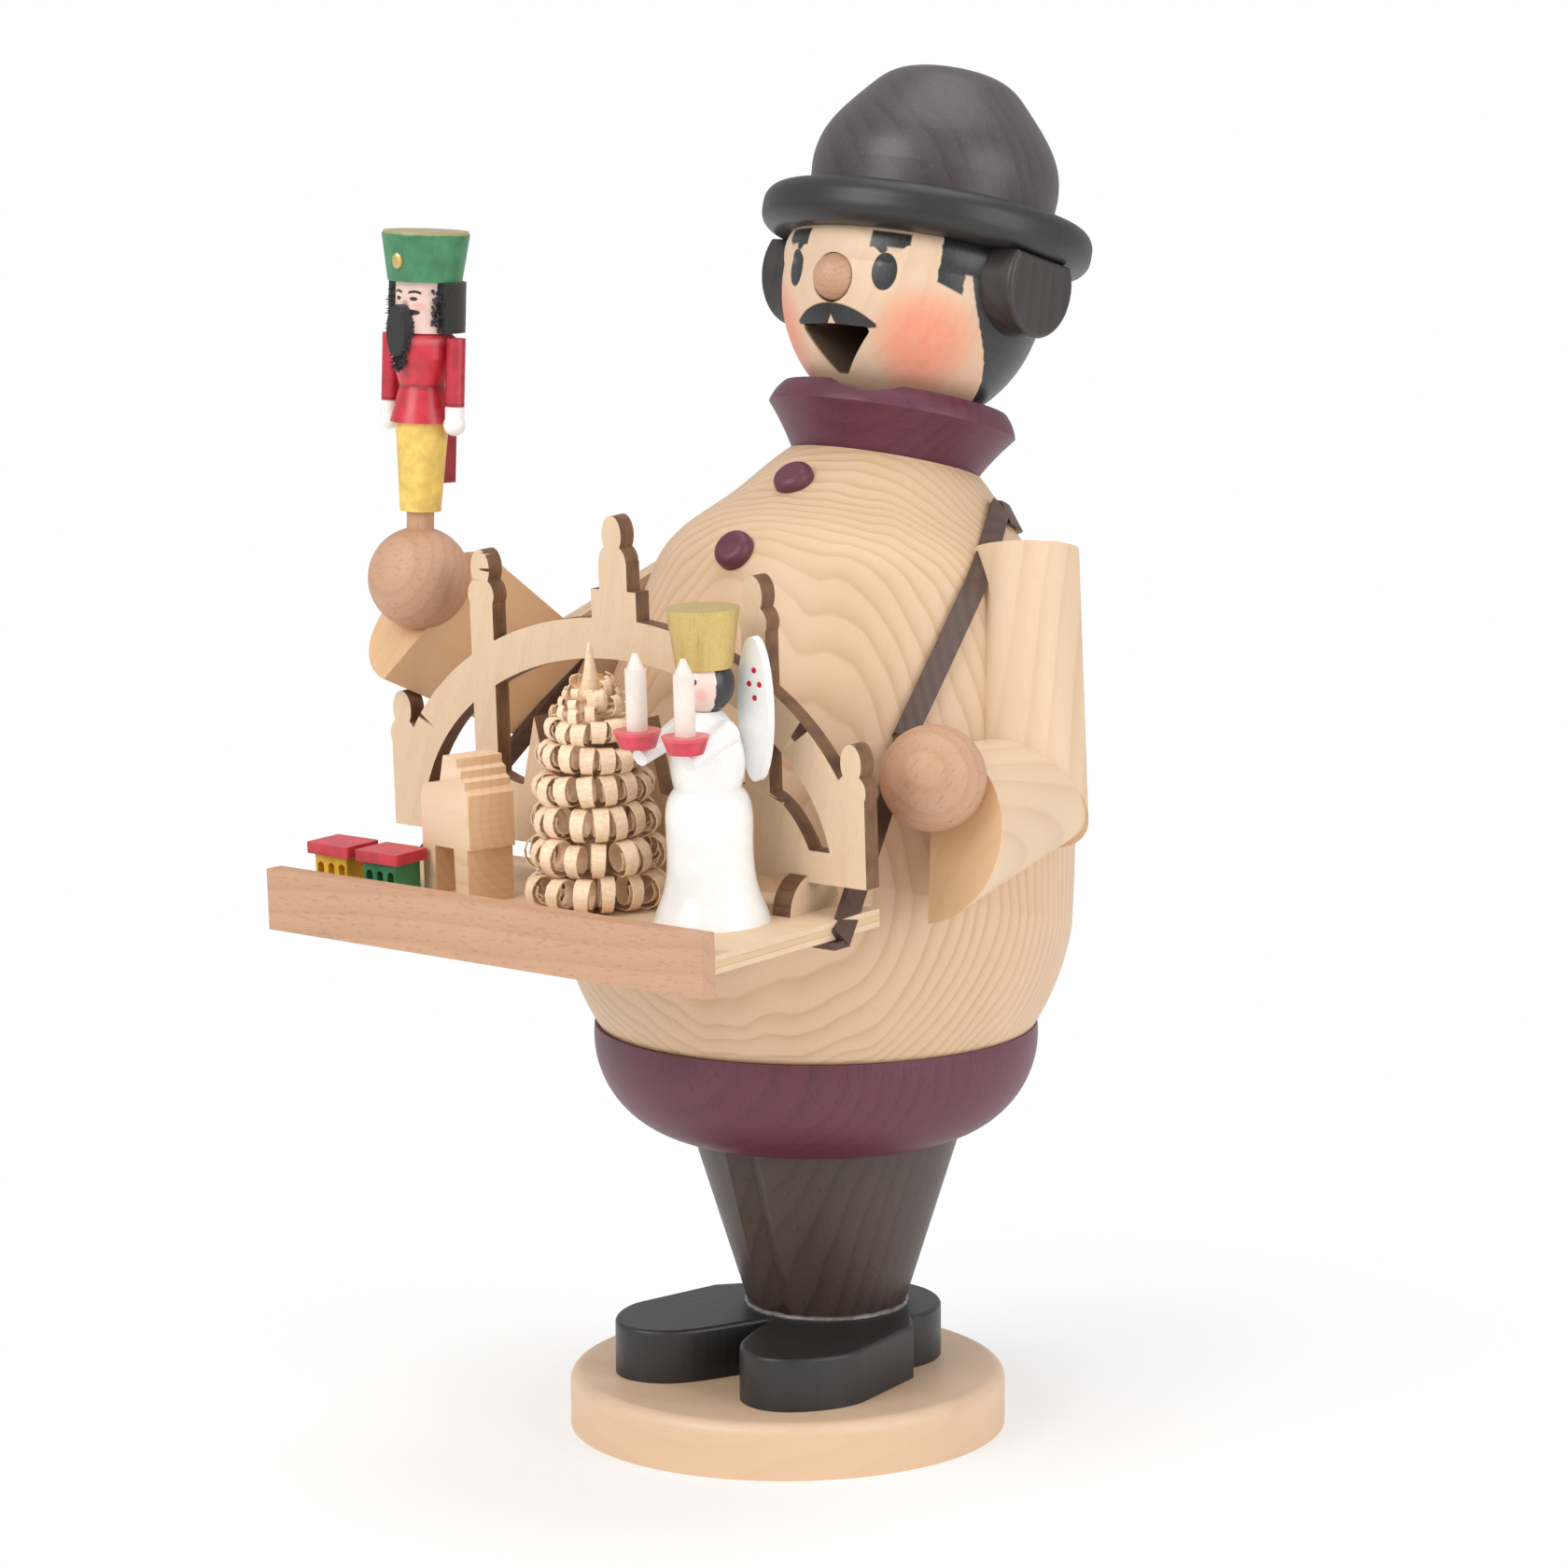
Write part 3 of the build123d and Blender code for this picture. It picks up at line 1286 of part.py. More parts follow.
pieces = {
    "base_disc": base_disc,
    "shoes": shoes,
    "trousers": trousers,
    "leg_dowel": leg_dowel,
    "coat_hem": coat_hem,
    "burner_plate": burner_plate,
    "plate_nail": plate_nail,
    "coat_body": coat_body,
    "collar": collar,
    "head": head,
    "nose": nose,
    "hat_brim": hat_brim,
    "hat_crown": hat_crown,
    "ear_muff_left": ear_muff_left,
    "ear_muff_right": ear_muff_right,
    "button_upper": button_upper,
    "button_lower": button_lower,
    "upper_sleeve_left": upper_sleeve_left,
    "upper_sleeve_right": upper_sleeve_right,
    "fore_sleeve_left": fore_sleeve_left,
    "fore_sleeve_right": fore_sleeve_right,
    "hand_left": hand_left,
    "hand_right": hand_right,
    "arm_dowel_left": arm_dowel_left,
    "arm_dowel_right": arm_dowel_right,
    "tray_front_strip": tray_front_strip,
    "tray_board": tray_board,
    "candle_arch": candle_arch,
    "arch_foot_left": arch_foot_left,
    "arch_foot_right": arch_foot_right,
    "toy_house_yellow": toy_house_yellow,
    "toy_roof_yellow": toy_roof_yellow,
    "toy_house_green": toy_house_green,
    "toy_roof_green": toy_roof_green,
    "ring_turned_animal": ring_turned_animal,
    "curl_tree": curl_tree,
    "angel_body": angel_body,
    "angel_head": angel_head,
    "angel_crown": angel_crown,
    "angel_arms": angel_arms,
    "angel_dishes": angel_dishes,
    "angel_candles": angel_candles,
    "angel_wings": angel_wings,
    "nutcracker_peg": nutcracker_peg,
    "nutcracker_trousers": nutcracker_trousers,
    "nutcracker_coat": nutcracker_coat,
    "nutcracker_head": nutcracker_head,
    "nutcracker_cap": nutcracker_cap,
    "nutcracker_arms": nutcracker_arms,
    "nutcracker_coat_tail": nutcracker_coat_tail,
    "nutcracker_hair": nutcracker_hair,
    "nutcracker_beard": nutcracker_beard,
    "strap": strap,
}
for piece_name, piece in pieces.items():
    export_piece(piece, piece_name)
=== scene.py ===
"""Looks of the wooden pedlar smoker: stained and plain woods, painted faces, shavings, fur and lace."""
import logging
import math
import random
from dataclasses import dataclass, field, replace
from enum import Enum
from typing import Any, Callable, Optional, Sequence

import bmesh
import bpy
from mathutils import Matrix, Vector


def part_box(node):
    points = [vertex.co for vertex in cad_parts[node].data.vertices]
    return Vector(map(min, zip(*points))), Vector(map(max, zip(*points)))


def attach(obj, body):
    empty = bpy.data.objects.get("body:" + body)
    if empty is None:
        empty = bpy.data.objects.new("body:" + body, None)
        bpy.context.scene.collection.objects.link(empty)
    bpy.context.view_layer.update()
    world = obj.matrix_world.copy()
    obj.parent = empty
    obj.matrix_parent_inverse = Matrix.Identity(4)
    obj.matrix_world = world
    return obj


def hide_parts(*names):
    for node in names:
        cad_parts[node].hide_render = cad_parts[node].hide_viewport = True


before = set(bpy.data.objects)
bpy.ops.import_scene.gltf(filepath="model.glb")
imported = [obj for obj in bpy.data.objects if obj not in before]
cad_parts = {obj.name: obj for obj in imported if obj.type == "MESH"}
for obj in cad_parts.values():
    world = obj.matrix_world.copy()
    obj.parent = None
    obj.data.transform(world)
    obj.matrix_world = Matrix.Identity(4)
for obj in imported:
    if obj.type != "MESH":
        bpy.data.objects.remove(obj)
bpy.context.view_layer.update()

MM = 0.001
Colour = tuple[float, float, float]
Point = tuple[float, float, float]
log = logging.getLogger("smoker")


class Body(Enum):
    """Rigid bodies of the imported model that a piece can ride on."""

    STAND = "stand"
    FIGURE = "figure"


@dataclass(frozen=True)
class Placing:
    """A turned or flat piece's own axes, in millimetres of the row frame."""

    origin: Point
    tilt: float = 0.0
    side_tilt: float = 0.0

    def up(self) -> Vector:
        """Direction of the piece's own axis."""
        return self.turn() @ Vector((0, 0, 1))

    def turn(self) -> Matrix:
        """Rotation from the piece's own axes to the row frame."""
        about_x = Matrix.Rotation(-math.radians(self.tilt), 3, "X")
        return about_x @ Matrix.Rotation(math.radians(self.side_tilt), 3, "Y")

    def point(self, x: float, y: float, z: float) -> Vector:
        """Row point in metres of a point given in millimetres in the piece's own axes."""
        return (Vector(self.origin) + self.turn() @ Vector((x, y, z))) * MM


COAT = Placing((0.0, 23.7, 141.7), tilt=15.0)
NOSE = Placing((0.0, 11.0, 170.1))
HEM = Placing((0.0, 7.0, 43.4))
PLATE = Placing((0.0, 7.0, 61.0))
TRAY = Placing((0.0, -66.37, 79.75), tilt=-2.13)
PLY_TOP = 5.5
ANGEL = Placing(tuple(TRAY.point(25.9, 19.6, PLY_TOP) / MM), tilt=-2.13)
TREE = Placing(tuple(TRAY.point(5.5, 19.0, PLY_TOP) / MM), tilt=-2.13)


class Value:
    """A number output of a node, on which plain Python arithmetic adds Math nodes."""

    def __init__(self, paint: "Paint", socket: Any) -> None:
        self.paint = paint
        self.socket = socket

    def math(self, operation: str, *others: Any) -> "Value":
        """Add one Math node.

        Args:
            operation: Blender's name of the operation.
            others: The further inputs, numbers or values.

        Returns:
            The node's output.
        """
        inputs = {0: self}
        inputs.update({index + 1: other for index, other in enumerate(others)})
        return self.paint.node("ShaderNodeMath", {"operation": operation}, inputs)

    def __add__(self, other: Any) -> "Value":
        """Sum."""
        return self.math("ADD", other)

    __radd__ = __add__

    def __sub__(self, other: Any) -> "Value":
        """Difference."""
        return self.math("SUBTRACT", other)

    def __rsub__(self, other: Any) -> "Value":
        """Difference taken from a number."""
        return self.math("MULTIPLY", -1.0).math("ADD", other)

    def __mul__(self, other: Any) -> "Value":
        """Product."""
        return self.math("MULTIPLY", other)

    __rmul__ = __mul__

    def __truediv__(self, other: Any) -> "Value":
        """Quotient."""
        return self.math("DIVIDE", other)

    def __pow__(self, other: Any) -> "Value":
        """Power."""
        return self.math("POWER", other)

    def __abs__(self) -> "Value":
        """Size without sign."""
        return self.math("ABSOLUTE")

    def both(self, other: Any) -> "Value":
        """The smaller, which joins two masks."""
        return self.math("MINIMUM", other)

    def either(self, other: Any) -> "Value":
        """The larger, which adds two masks."""
        return self.math("MAXIMUM", other)

    def below(self, limit: float, blur: float) -> "Value":
        """Mask that is 1 below a limit and fades to 0 over a blur."""
        return self.ramp_between(limit + blur / 2, limit - blur / 2)

    def above(self, limit: float, blur: float) -> "Value":
        """Mask that is 1 above a limit and fades to 0 under it over a blur."""
        return self.ramp_between(limit - blur / 2, limit + blur / 2)

    def ramp_between(self, zero: float, one: float) -> "Value":
        """Value mapped to 0 at one number and to 1 at another, held between them."""
        return self.paint.node(
            "ShaderNodeMapRange", {"clamp": True}, {0: self, 1: zero, 2: one, 3: 0.0, 4: 1.0}
        )


class Paint:
    """One node material under construction."""

    bump_strength = 0.8
    coat_roughness = 0.25

    def __init__(self, name: str) -> None:
        self.material = bpy.data.materials.new(name)
        self.material.use_nodes = True
        self.tree = self.material.node_tree
        self.shader = self.tree.nodes["Principled BSDF"]
        self.place = self.node("ShaderNodeTexCoord", {}, {}, "Object")

    def node(self, kind: str, settings: dict[str, Any], inputs: dict[Any, Any], output: Any = 0) -> Value:
        """Add a node with its settings and inputs.

        Args:
            kind: Blender's type of the node.
            settings: Attributes that are set first; a ramp's stops come under "stops".
            inputs: Numbers, colours or values for its sockets, by index or name.
            output: Index or name of the output to hand back.

        Returns:
            The chosen output.
        """
        made = self.tree.nodes.new(kind)
        for key, setting in settings.items():
            if key == "stops":
                self._stops(made.color_ramp, setting)
            else:
                setattr(made, key, setting)
        for key, entry in inputs.items():
            if isinstance(entry, Value):
                self.tree.links.new(entry.socket, made.inputs[key])
            elif isinstance(entry, tuple) and len(entry) == 3 and made.inputs[key].type == "RGBA":
                made.inputs[key].default_value = (*entry, 1.0)
            else:
                made.inputs[key].default_value = entry
        return Value(self, made.outputs[output])

    @staticmethod
    def _stops(ramp: Any, stops: Sequence[tuple[float, Colour]]) -> None:
        """Write a ramp's stops."""
        while len(ramp.elements) < len(stops):
            ramp.elements.new(1.0)
        for element, (position, colour) in zip(ramp.elements, stops):
            element.position = position
            element.color = (*colour, 1.0)

    def local(self, placing: Placing, turn: Optional[Matrix] = None) -> Value:
        """Millimetre coordinates in a piece's own axes.

        Args:
            placing: The piece's own axes.
            turn: A further rotation, from the wanted axes to the piece's own.

        Returns:
            The vector.
        """
        whole = placing.turn() @ turn if turn else placing.turn()
        moved = self.node(
            "ShaderNodeVectorMath", {"operation": "MULTIPLY_ADD"},
            {0: self.place, 1: (1 / MM,) * 3, 2: tuple(-value for value in placing.origin)},
        )
        rows = [
            self.node("ShaderNodeVectorMath", {"operation": "DOT_PRODUCT"},
                      {0: moved, 1: tuple(whole.col[index])}, "Value")
            for index in range(3)
        ]
        return self.join(*rows)

    def join(self, x: Any, y: Any, z: Any) -> Value:
        """Vector of three numbers."""
        return self.node("ShaderNodeCombineXYZ", {}, {0: x, 1: y, 2: z})

    def parts(self, vector: Value) -> tuple[Value, Value, Value]:
        """The three numbers of a vector."""
        split = self.tree.nodes.new("ShaderNodeSeparateXYZ")
        self.tree.links.new(vector.socket, split.inputs[0])
        return tuple(Value(self, split.outputs[index]) for index in range(3))

    def noise(self, vector: Value, scale: float = 1.0, detail: float = 3.0, rough: float = 0.5) -> Value:
        """Soft noise from 0 to 1 on a vector."""
        return self.node(
            "ShaderNodeTexNoise", {}, {"Vector": vector, "Scale": scale, "Detail": detail, "Roughness": rough}
        )

    def mix(self, share: Any, low: Any, high: Any, blend: str = "MIX") -> Value:
        """Colour between two colours."""
        return self.node(
            "ShaderNodeMix", {"data_type": "RGBA", "blend_type": blend}, {0: share, 6: low, 7: high}, 2
        )

    def ramp(self, share: Value, stops: Sequence[tuple[float, Colour]]) -> Value:
        """Colour read from stops."""
        return self.node("ShaderNodeValToRGB", {"stops": stops}, {0: share})

    def normal_along(self, direction: Vector) -> Value:
        """How squarely the surface faces a direction, either way, from 0 to 1."""
        facing = self.node("ShaderNodeTexCoord", {}, {}, "Normal")
        dot = self.node("ShaderNodeVectorMath", {"operation": "DOT_PRODUCT"},
                        {0: facing, 1: tuple(direction)}, "Value")
        return abs(dot)

    def finish(
        self, colour: Any, roughness: Any, relief: Optional[Value] = None,
        height: float = 0.02, coat: float = 0.0, metallic: float = 0.0, sheen: float = 0.0,
    ) -> bpy.types.Material:
        """Feed the shader and hand back the material.

        Args:
            colour: Base colour, fixed or linked.
            roughness: Roughness, fixed or linked.
            relief: Height of the surface from 0 to 1, or none.
            height: Millimetres that the relief spans.
            coat: Weight of the clear coat.
            metallic: How metallic the surface is.
            sheen: Weight of the cloth sheen.

        Returns:
            The finished material.
        """
        for name, entry in (("Base Color", colour), ("Roughness", roughness)):
            if isinstance(entry, Value):
                self.tree.links.new(entry.socket, self.shader.inputs[name])
            elif name == "Base Color":
                self.shader.inputs[name].default_value = (*entry, 1.0)
            else:
                self.shader.inputs[name].default_value = entry
        self.shader.inputs["Metallic"].default_value = metallic
        self.shader.inputs["Coat Weight"].default_value = coat
        self.shader.inputs["Coat Roughness"].default_value = self.coat_roughness
        self.shader.inputs["Sheen Weight"].default_value = sheen
        if relief is not None:
            bump = self.node(
                "ShaderNodeBump", {},
                {"Height": relief, "Distance": height * MM, "Strength": self.bump_strength},
            )
            self.tree.links.new(bump.socket, self.shader.inputs["Normal"])
        return self.material


@dataclass(frozen=True)
class Wood:
    """A plain or stained wood, with growth rings about a pith line."""

    early: Colour
    late: Colour
    ring: float = 1.7
    pith: Point = (0.0, 60.0, 0.0)
    fibre: Point = (0.0, 0.0, 1.0)
    line: float = 0.55
    wander: float = 1.2
    fleck: float = 0.0
    fleck_colour: Colour = (0.36, 0.20, 0.10)
    stain: Optional[Colour] = None
    stain_share: float = 0.0
    roughness: float = 0.5
    relief: float = 0.015
    coat: float = 0.0

    def axes(self) -> Matrix:
        """Rotation whose third axis is the fibre."""
        along = Vector(self.fibre).normalized()
        return along.to_track_quat("Z", "Y").to_matrix()

    def grain(self, paint: Paint, placing: Placing) -> tuple[Value, Value]:
        """Colour and relief of the grain on a piece.

        Args:
            paint: Material under construction.
            placing: The piece's own axes.

        Returns:
            The colour and the relief from 0 to 1.
        """
        pith = Vector(self.pith)
        centred = Placing(tuple(placing.point(*pith) / MM), placing.tilt, placing.side_tilt)
        where = paint.local(centred, turn=self.axes())
        x, y, z = paint.parts(where)
        slow = paint.noise(paint.join(x * 0.045, y * 0.045, z * 0.012), 1.0, 2.0)
        radius = (x * x + y * y).math("SQRT") + (slow - 0.5) * (self.wander * 6)
        count = radius / self.ring
        uneven = paint.noise(paint.join(count * 0.35, 0.0, 0.0), 1.0, 1.0)
        turn = (count + uneven * 0.8).math("FRACT")
        rise = turn.ramp_between(0.15, 0.86) ** 2.2
        fall = turn.ramp_between(1.0, 0.90)
        late = rise.both(fall) * self.line
        streak = paint.noise(paint.join(x * 3.2, y * 3.2, z * 0.16), 1.0, 4.0, 0.65)
        pores = paint.noise(paint.join(x * 9.0, y * 9.0, z * 0.9), 1.0, 2.0, 0.6)
        cloud = paint.noise(paint.join(x * 0.09, y * 0.09, z * 0.04), 1.0, 3.0)
        plain = paint.mix(late, self.early, self.late)
        darker = tuple(value * 0.82 for value in self.early)
        lighter = tuple(min(1.0, value * 1.08) for value in self.early)
        toned = paint.mix(streak.ramp_between(0.35, 0.75) * 0.35, plain, darker)
        toned = paint.mix(cloud.ramp_between(0.35, 0.7) * 0.35, toned, lighter)
        if self.fleck > 0:
            dashes = paint.noise(paint.join(x * 2.6, y * 2.6, z * 0.62), 1.0, 1.0)
            toned = paint.mix(dashes.ramp_between(0.60, 0.68) * self.fleck, toned, self.fleck_colour)
        if self.stain is not None:
            toned = paint.mix(self.stain_share, toned, self.stain)
        relief = (1 - late) * 0.5 + pores * 0.35 + streak * 0.25
        return toned, relief

    def on(self, name: str, placing: Placing) -> bpy.types.Material:
        """Finished material of a piece."""
        paint = Paint(name)
        colour, relief = self.grain(paint, placing)
        rough = (relief - 0.5) * 0.18 + self.roughness
        return paint.finish(colour, rough, relief, self.relief, self.coat)


@dataclass(frozen=True)
class Lacquer:
    """Brushed or dipped colour over small turned wood."""

    colour: Colour
    roughness: float = 0.3
    coat: float = 0.3
    uneven: float = 0.18
    grain: float = 0.35

    def base(self, paint: Paint, placing: Placing) -> tuple[Value, Value]:
        """Colour and relief of the paint film.

        Args:
            paint: Material under construction.
            placing: The piece's own axes.

        Returns:
            The colour and the relief from 0 to 1.
        """
        where = paint.local(placing)
        x, y, z = paint.parts(where)
        cloud = paint.noise(where, 0.45, 3.0)
        streak = paint.noise(paint.join(x * 3.0, y * 3.0, z * 0.35), 1.0, 3.0, 0.6)
        dark = tuple(value * (1 - self.uneven * 1.6) for value in self.colour)
        light = tuple(min(1.0, value * (1 + self.uneven * 0.5) + 0.004) for value in self.colour)
        colour = paint.mix(cloud.ramp_between(0.3, 0.7), dark, light)
        colour = paint.mix(streak.ramp_between(0.5, 0.8) * self.grain, colour, dark)
        return colour, cloud * 0.6 + streak * 0.4

    def on(self, name: str, placing: Placing) -> bpy.types.Material:
        """Finished material of a piece."""
        paint = Paint(name)
        colour, relief = self.base(paint, placing)
        return paint.finish(colour, (relief - 0.5) * 0.2 + self.roughness, relief, 0.03, self.coat)


PINE = Wood(
    (0.66, 0.455, 0.29), (0.46, 0.26, 0.12), ring=1.55, line=0.62, wander=0.9, roughness=0.46, coat=0.08,
)
SPLIT_PINE = Wood((0.70, 0.51, 0.34), (0.54, 0.34, 0.18), ring=3.4, line=0.4, wander=0.8, roughness=0.5)
BEECH = Wood(
    (0.53, 0.31, 0.19), (0.38, 0.20, 0.11), ring=2.2, line=0.45,
    fleck=0.35, fleck_colour=(0.30, 0.15, 0.08), roughness=0.52,
)
MAPLE = Wood(
    (0.70, 0.50, 0.34), (0.58, 0.38, 0.23), ring=4.2, line=0.25, wander=2.0, roughness=0.42, coat=0.1,
)
BLACK = Wood((0.017, 0.016, 0.017), (0.010, 0.010, 0.011), ring=1.6, roughness=0.42, coat=0.15, relief=0.03)
BROWN = Wood(
    (0.068, 0.043, 0.033), (0.030, 0.019, 0.015), ring=2.2, line=0.6,
    fleck=0.5, fleck_colour=(0.035, 0.022, 0.015), roughness=0.44, coat=0.1,
)
VIOLET = Wood(
    (0.120, 0.024, 0.048), (0.058, 0.011, 0.025), ring=2.4, line=0.45,
    fleck=0.45, fleck_colour=(0.060, 0.010, 0.024), roughness=0.44, coat=0.1,
)
SLATE = Wood(
    (0.062, 0.046, 0.052), (0.022, 0.017, 0.021), ring=2.6, line=0.45,
    pith=(14.0, 26.0, 40.0), fibre=(0.25, -0.5, 0.85),
    fleck=0.35, fleck_colour=(0.115, 0.085, 0.085), roughness=0.4, coat=0.15,
)


class Tool:
    """Hand operations on meshes, done with Blender's own edit-mode operators."""

    @staticmethod
    def clear() -> None:
        """Deselect everything."""
        if bpy.context.object and bpy.context.object.mode != "OBJECT":
            bpy.ops.object.mode_set(mode="OBJECT")
        bpy.ops.object.select_all(action="DESELECT")

    @staticmethod
    def take(name: str) -> bpy.types.Object:
        """Name the object just added and keep it active."""
        piece = bpy.context.object
        piece.name = name
        piece.data.name = name
        return piece

    @staticmethod
    def pick(piece: bpy.types.Object, kind: str, test: Callable[[Any], bool]) -> int:
        """Select faces, edges or vertices in edit mode.

        Args:
            piece: Object in edit mode.
            kind: "faces", "edges" or "verts".
            test: Chooses by place or normal.

        Returns:
            How many were selected.
        """
        bpy.ops.mesh.select_mode(type={"faces": "FACE", "edges": "EDGE", "verts": "VERT"}[kind])
        bpy.ops.mesh.select_all(action="DESELECT")
        shape = bmesh.from_edit_mesh(piece.data)
        chosen = 0
        for element in getattr(shape, kind):
            if test(element):
                element.select_set(True)
                chosen += 1
        shape.select_flush_mode()
        bmesh.update_edit_mesh(piece.data)
        return chosen

    @staticmethod
    def settle(piece: bpy.types.Object) -> bpy.types.Object:
        """Apply the place into the mesh and leave the object at the origin."""
        Tool.clear()
        piece.data.transform(piece.matrix_world)
        piece.matrix_world = Matrix.Identity(4)
        return piece

    @staticmethod
    def apply(piece: bpy.types.Object, kind: str, **settings: Any) -> None:
        """Add one modifier and apply it."""
        Tool.clear()
        piece.select_set(True)
        bpy.context.view_layer.objects.active = piece
        modifier = piece.modifiers.new(kind.lower(), kind)
        for key, setting in settings.items():
            setattr(modifier, key, setting)
        bpy.ops.object.modifier_apply(modifier=modifier.name)

    @staticmethod
    def smooth(piece: bpy.types.Object, angle: float = 35.0) -> None:
        """Shade smooth below an angle."""
        Tool.clear()
        piece.select_set(True)
        bpy.context.view_layer.objects.active = piece
        bpy.ops.object.shade_smooth_by_angle(angle=math.radians(angle))

    @staticmethod
    def copies(piece: bpy.types.Object, places: Sequence[Matrix], name: str) -> bpy.types.Object:
        """Copy a piece to many places and join the copies.

        Args:
            piece: Pattern at the origin; it is removed.
            places: One matrix for each copy.
            name: Name of the joined piece.

        Returns:
            The joined piece, with its place in its mesh.
        """
        made = []
        for place in places:
            copy = piece.copy()
            copy.data = piece.data.copy()
            copy.data.transform(place)
            bpy.context.collection.objects.link(copy)
            made.append(copy)
        bpy.data.objects.remove(piece)
        Tool.clear()
        for copy in made:
            copy.select_set(True)
        bpy.context.view_layer.objects.active = made[0]
        bpy.ops.object.join()
        return Tool.take(name)

    @staticmethod
    def cad_copy(node: str, name: str) -> bpy.types.Object:
        """Merged, editable copy of a CAD node."""
        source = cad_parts[node]
        copy = source.copy()
        copy.data = source.data.copy()
        bpy.context.collection.objects.link(copy)
        Tool.clear()
        copy.select_set(True)
        bpy.context.view_layer.objects.active = copy
        bpy.ops.object.mode_set(mode="EDIT")
        bpy.ops.mesh.select_all(action="SELECT")
        bpy.ops.mesh.remove_doubles(threshold=0.002 * MM)
        bpy.ops.mesh.tris_convert_to_quads(face_threshold=0.02, shape_threshold=0.02)
        bpy.ops.object.mode_set(mode="OBJECT")
        return Tool.take(name)


def dress(node: str, material: bpy.types.Material) -> None:
    """Give a CAD node its material."""
    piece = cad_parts[node]
    piece.data.materials.clear()
    piece.data.materials.append(material)
    log.info("dressed %s", node)


def place_piece(
    piece: bpy.types.Object, material: bpy.types.Material, body: Body, slot: str, *nodes: str,
) -> None:
    """Hand a new piece over to the frame.

    Args:
        piece: The finished piece.
        material: Its only material.
        body: The rigid body it rides on.
        slot: Not used.
        nodes: The CAD nodes it replaces, if any.
    """
    piece.data.materials.clear()
    piece.data.materials.append(material)
    for face in piece.data.polygons:
        face.material_index = 0
    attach(piece, body.value)
    if nodes:
        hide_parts(*nodes)
    log.info("built %s, %d faces", piece.name, len(piece.data.polygons))


@dataclass
class Stand:
    """Base disc, shoes, trousers, hem, burner plate and the glue line at the ankles."""

    leg_y: float = 9.3
    ankle: float = 11.8
    shoe_top: float = 16.3
    base_radius: float = 32.5
    glue_bead: float = 0.45
    glue_unevenness: float = 0.12

    def build(self) -> None:
        """Dress the stand's nodes and add the glue line."""
        base = Placing((0.0, 0.0, 0.0))
        dress("base_disc", self.base_material(base))
        dress("shoes", BLACK.on("black_board", Placing((0.0, 0.0, 12.0))))
        trousers = replace(BROWN, pith=(10.0, 34.0, 0.0))
        dress("trousers", trousers.on("brown_stain", Placing((0.0, self.leg_y, self.shoe_top))))
        violet = replace(VIOLET, pith=(12.0, 50.0, 0.0), fibre=(0.15, 0.1, 1.0))
        dress("coat_hem", violet.on("violet_hem", HEM))
        dress("burner_plate", self.sheet_metal("plate_sheet"))
        dress("plate_nail", self.sheet_metal("nail_wire"))
        dress("leg_dowel", BEECH.on("leg_peg", base))
        self.glue_line()

    def base_material(self, base: Placing) -> bpy.types.Material:
        """Pale maple disc, its edge a little darker and redder."""
        paint = Paint("maple_base")
        wood = replace(MAPLE, pith=(0.0, 20.0, -60.0), fibre=(1.0, 0.25, 0.0))
        colour, relief = wood.grain(paint, base)
        x, y, z = paint.parts(paint.local(base))
        radius = (x * x + y * y).math("SQRT")
        edge = radius.above(self.base_radius - 0.9, 0.8).both(z.below(7.0, 1.0))
        colour = paint.mix(edge * 0.35, colour, (0.74, 0.48, 0.27))
        return paint.finish(colour, (relief - 0.5) * 0.2 + 0.42, relief, 0.012, 0.12)

    def sheet_metal(self, name: str) -> bpy.types.Material:
        """Thin pressed sheet with faint turning marks."""
        paint = Paint(name)
        x, y, z = paint.parts(paint.local(PLATE))
        radius = (x * x + y * y).math("SQRT")
        rings = paint.noise(paint.join(radius * 3.0, z, 0.0), 1.0, 3.0)
        colour = paint.mix(rings, (0.52, 0.50, 0.46), (0.72, 0.70, 0.66))
        return paint.finish(colour, rings * 0.2 + 0.28, rings, 0.01, metallic=1.0)

    def glue_line(self) -> None:
        """Thin uneven bead where the trousers stand on the shoes."""
        Tool.clear()
        bpy.ops.mesh.primitive_torus_add(
            major_segments=72, minor_segments=8, major_radius=(self.ankle + 0.15) * MM,
            minor_radius=self.glue_bead * MM, location=(0, self.leg_y * MM, (self.shoe_top + 0.1) * MM),
        )
        bead = Tool.take("glue_bead")
        bpy.ops.object.mode_set(mode="EDIT")
        bpy.ops.mesh.select_all(action="SELECT")
        bpy.ops.transform.vertex_random(offset=self.glue_unevenness * MM, uniform=0.0, normal=1.0, seed=4)
        bpy.ops.object.mode_set(mode="OBJECT")
        Tool.settle(bead)
        Tool.smooth(bead, 60)
        paint = Paint("glue_film")
        cloud = paint.noise(paint.local(Placing((0.0, 0.0, 0.0))), 0.8, 2.0)
        colour = paint.mix(cloud, (0.035, 0.032, 0.030), (0.30, 0.28, 0.25))
        place_piece(bead, paint.finish(colour, 0.25, cloud, 0.05, 0.4), Body.STAND, "brown_trousers")


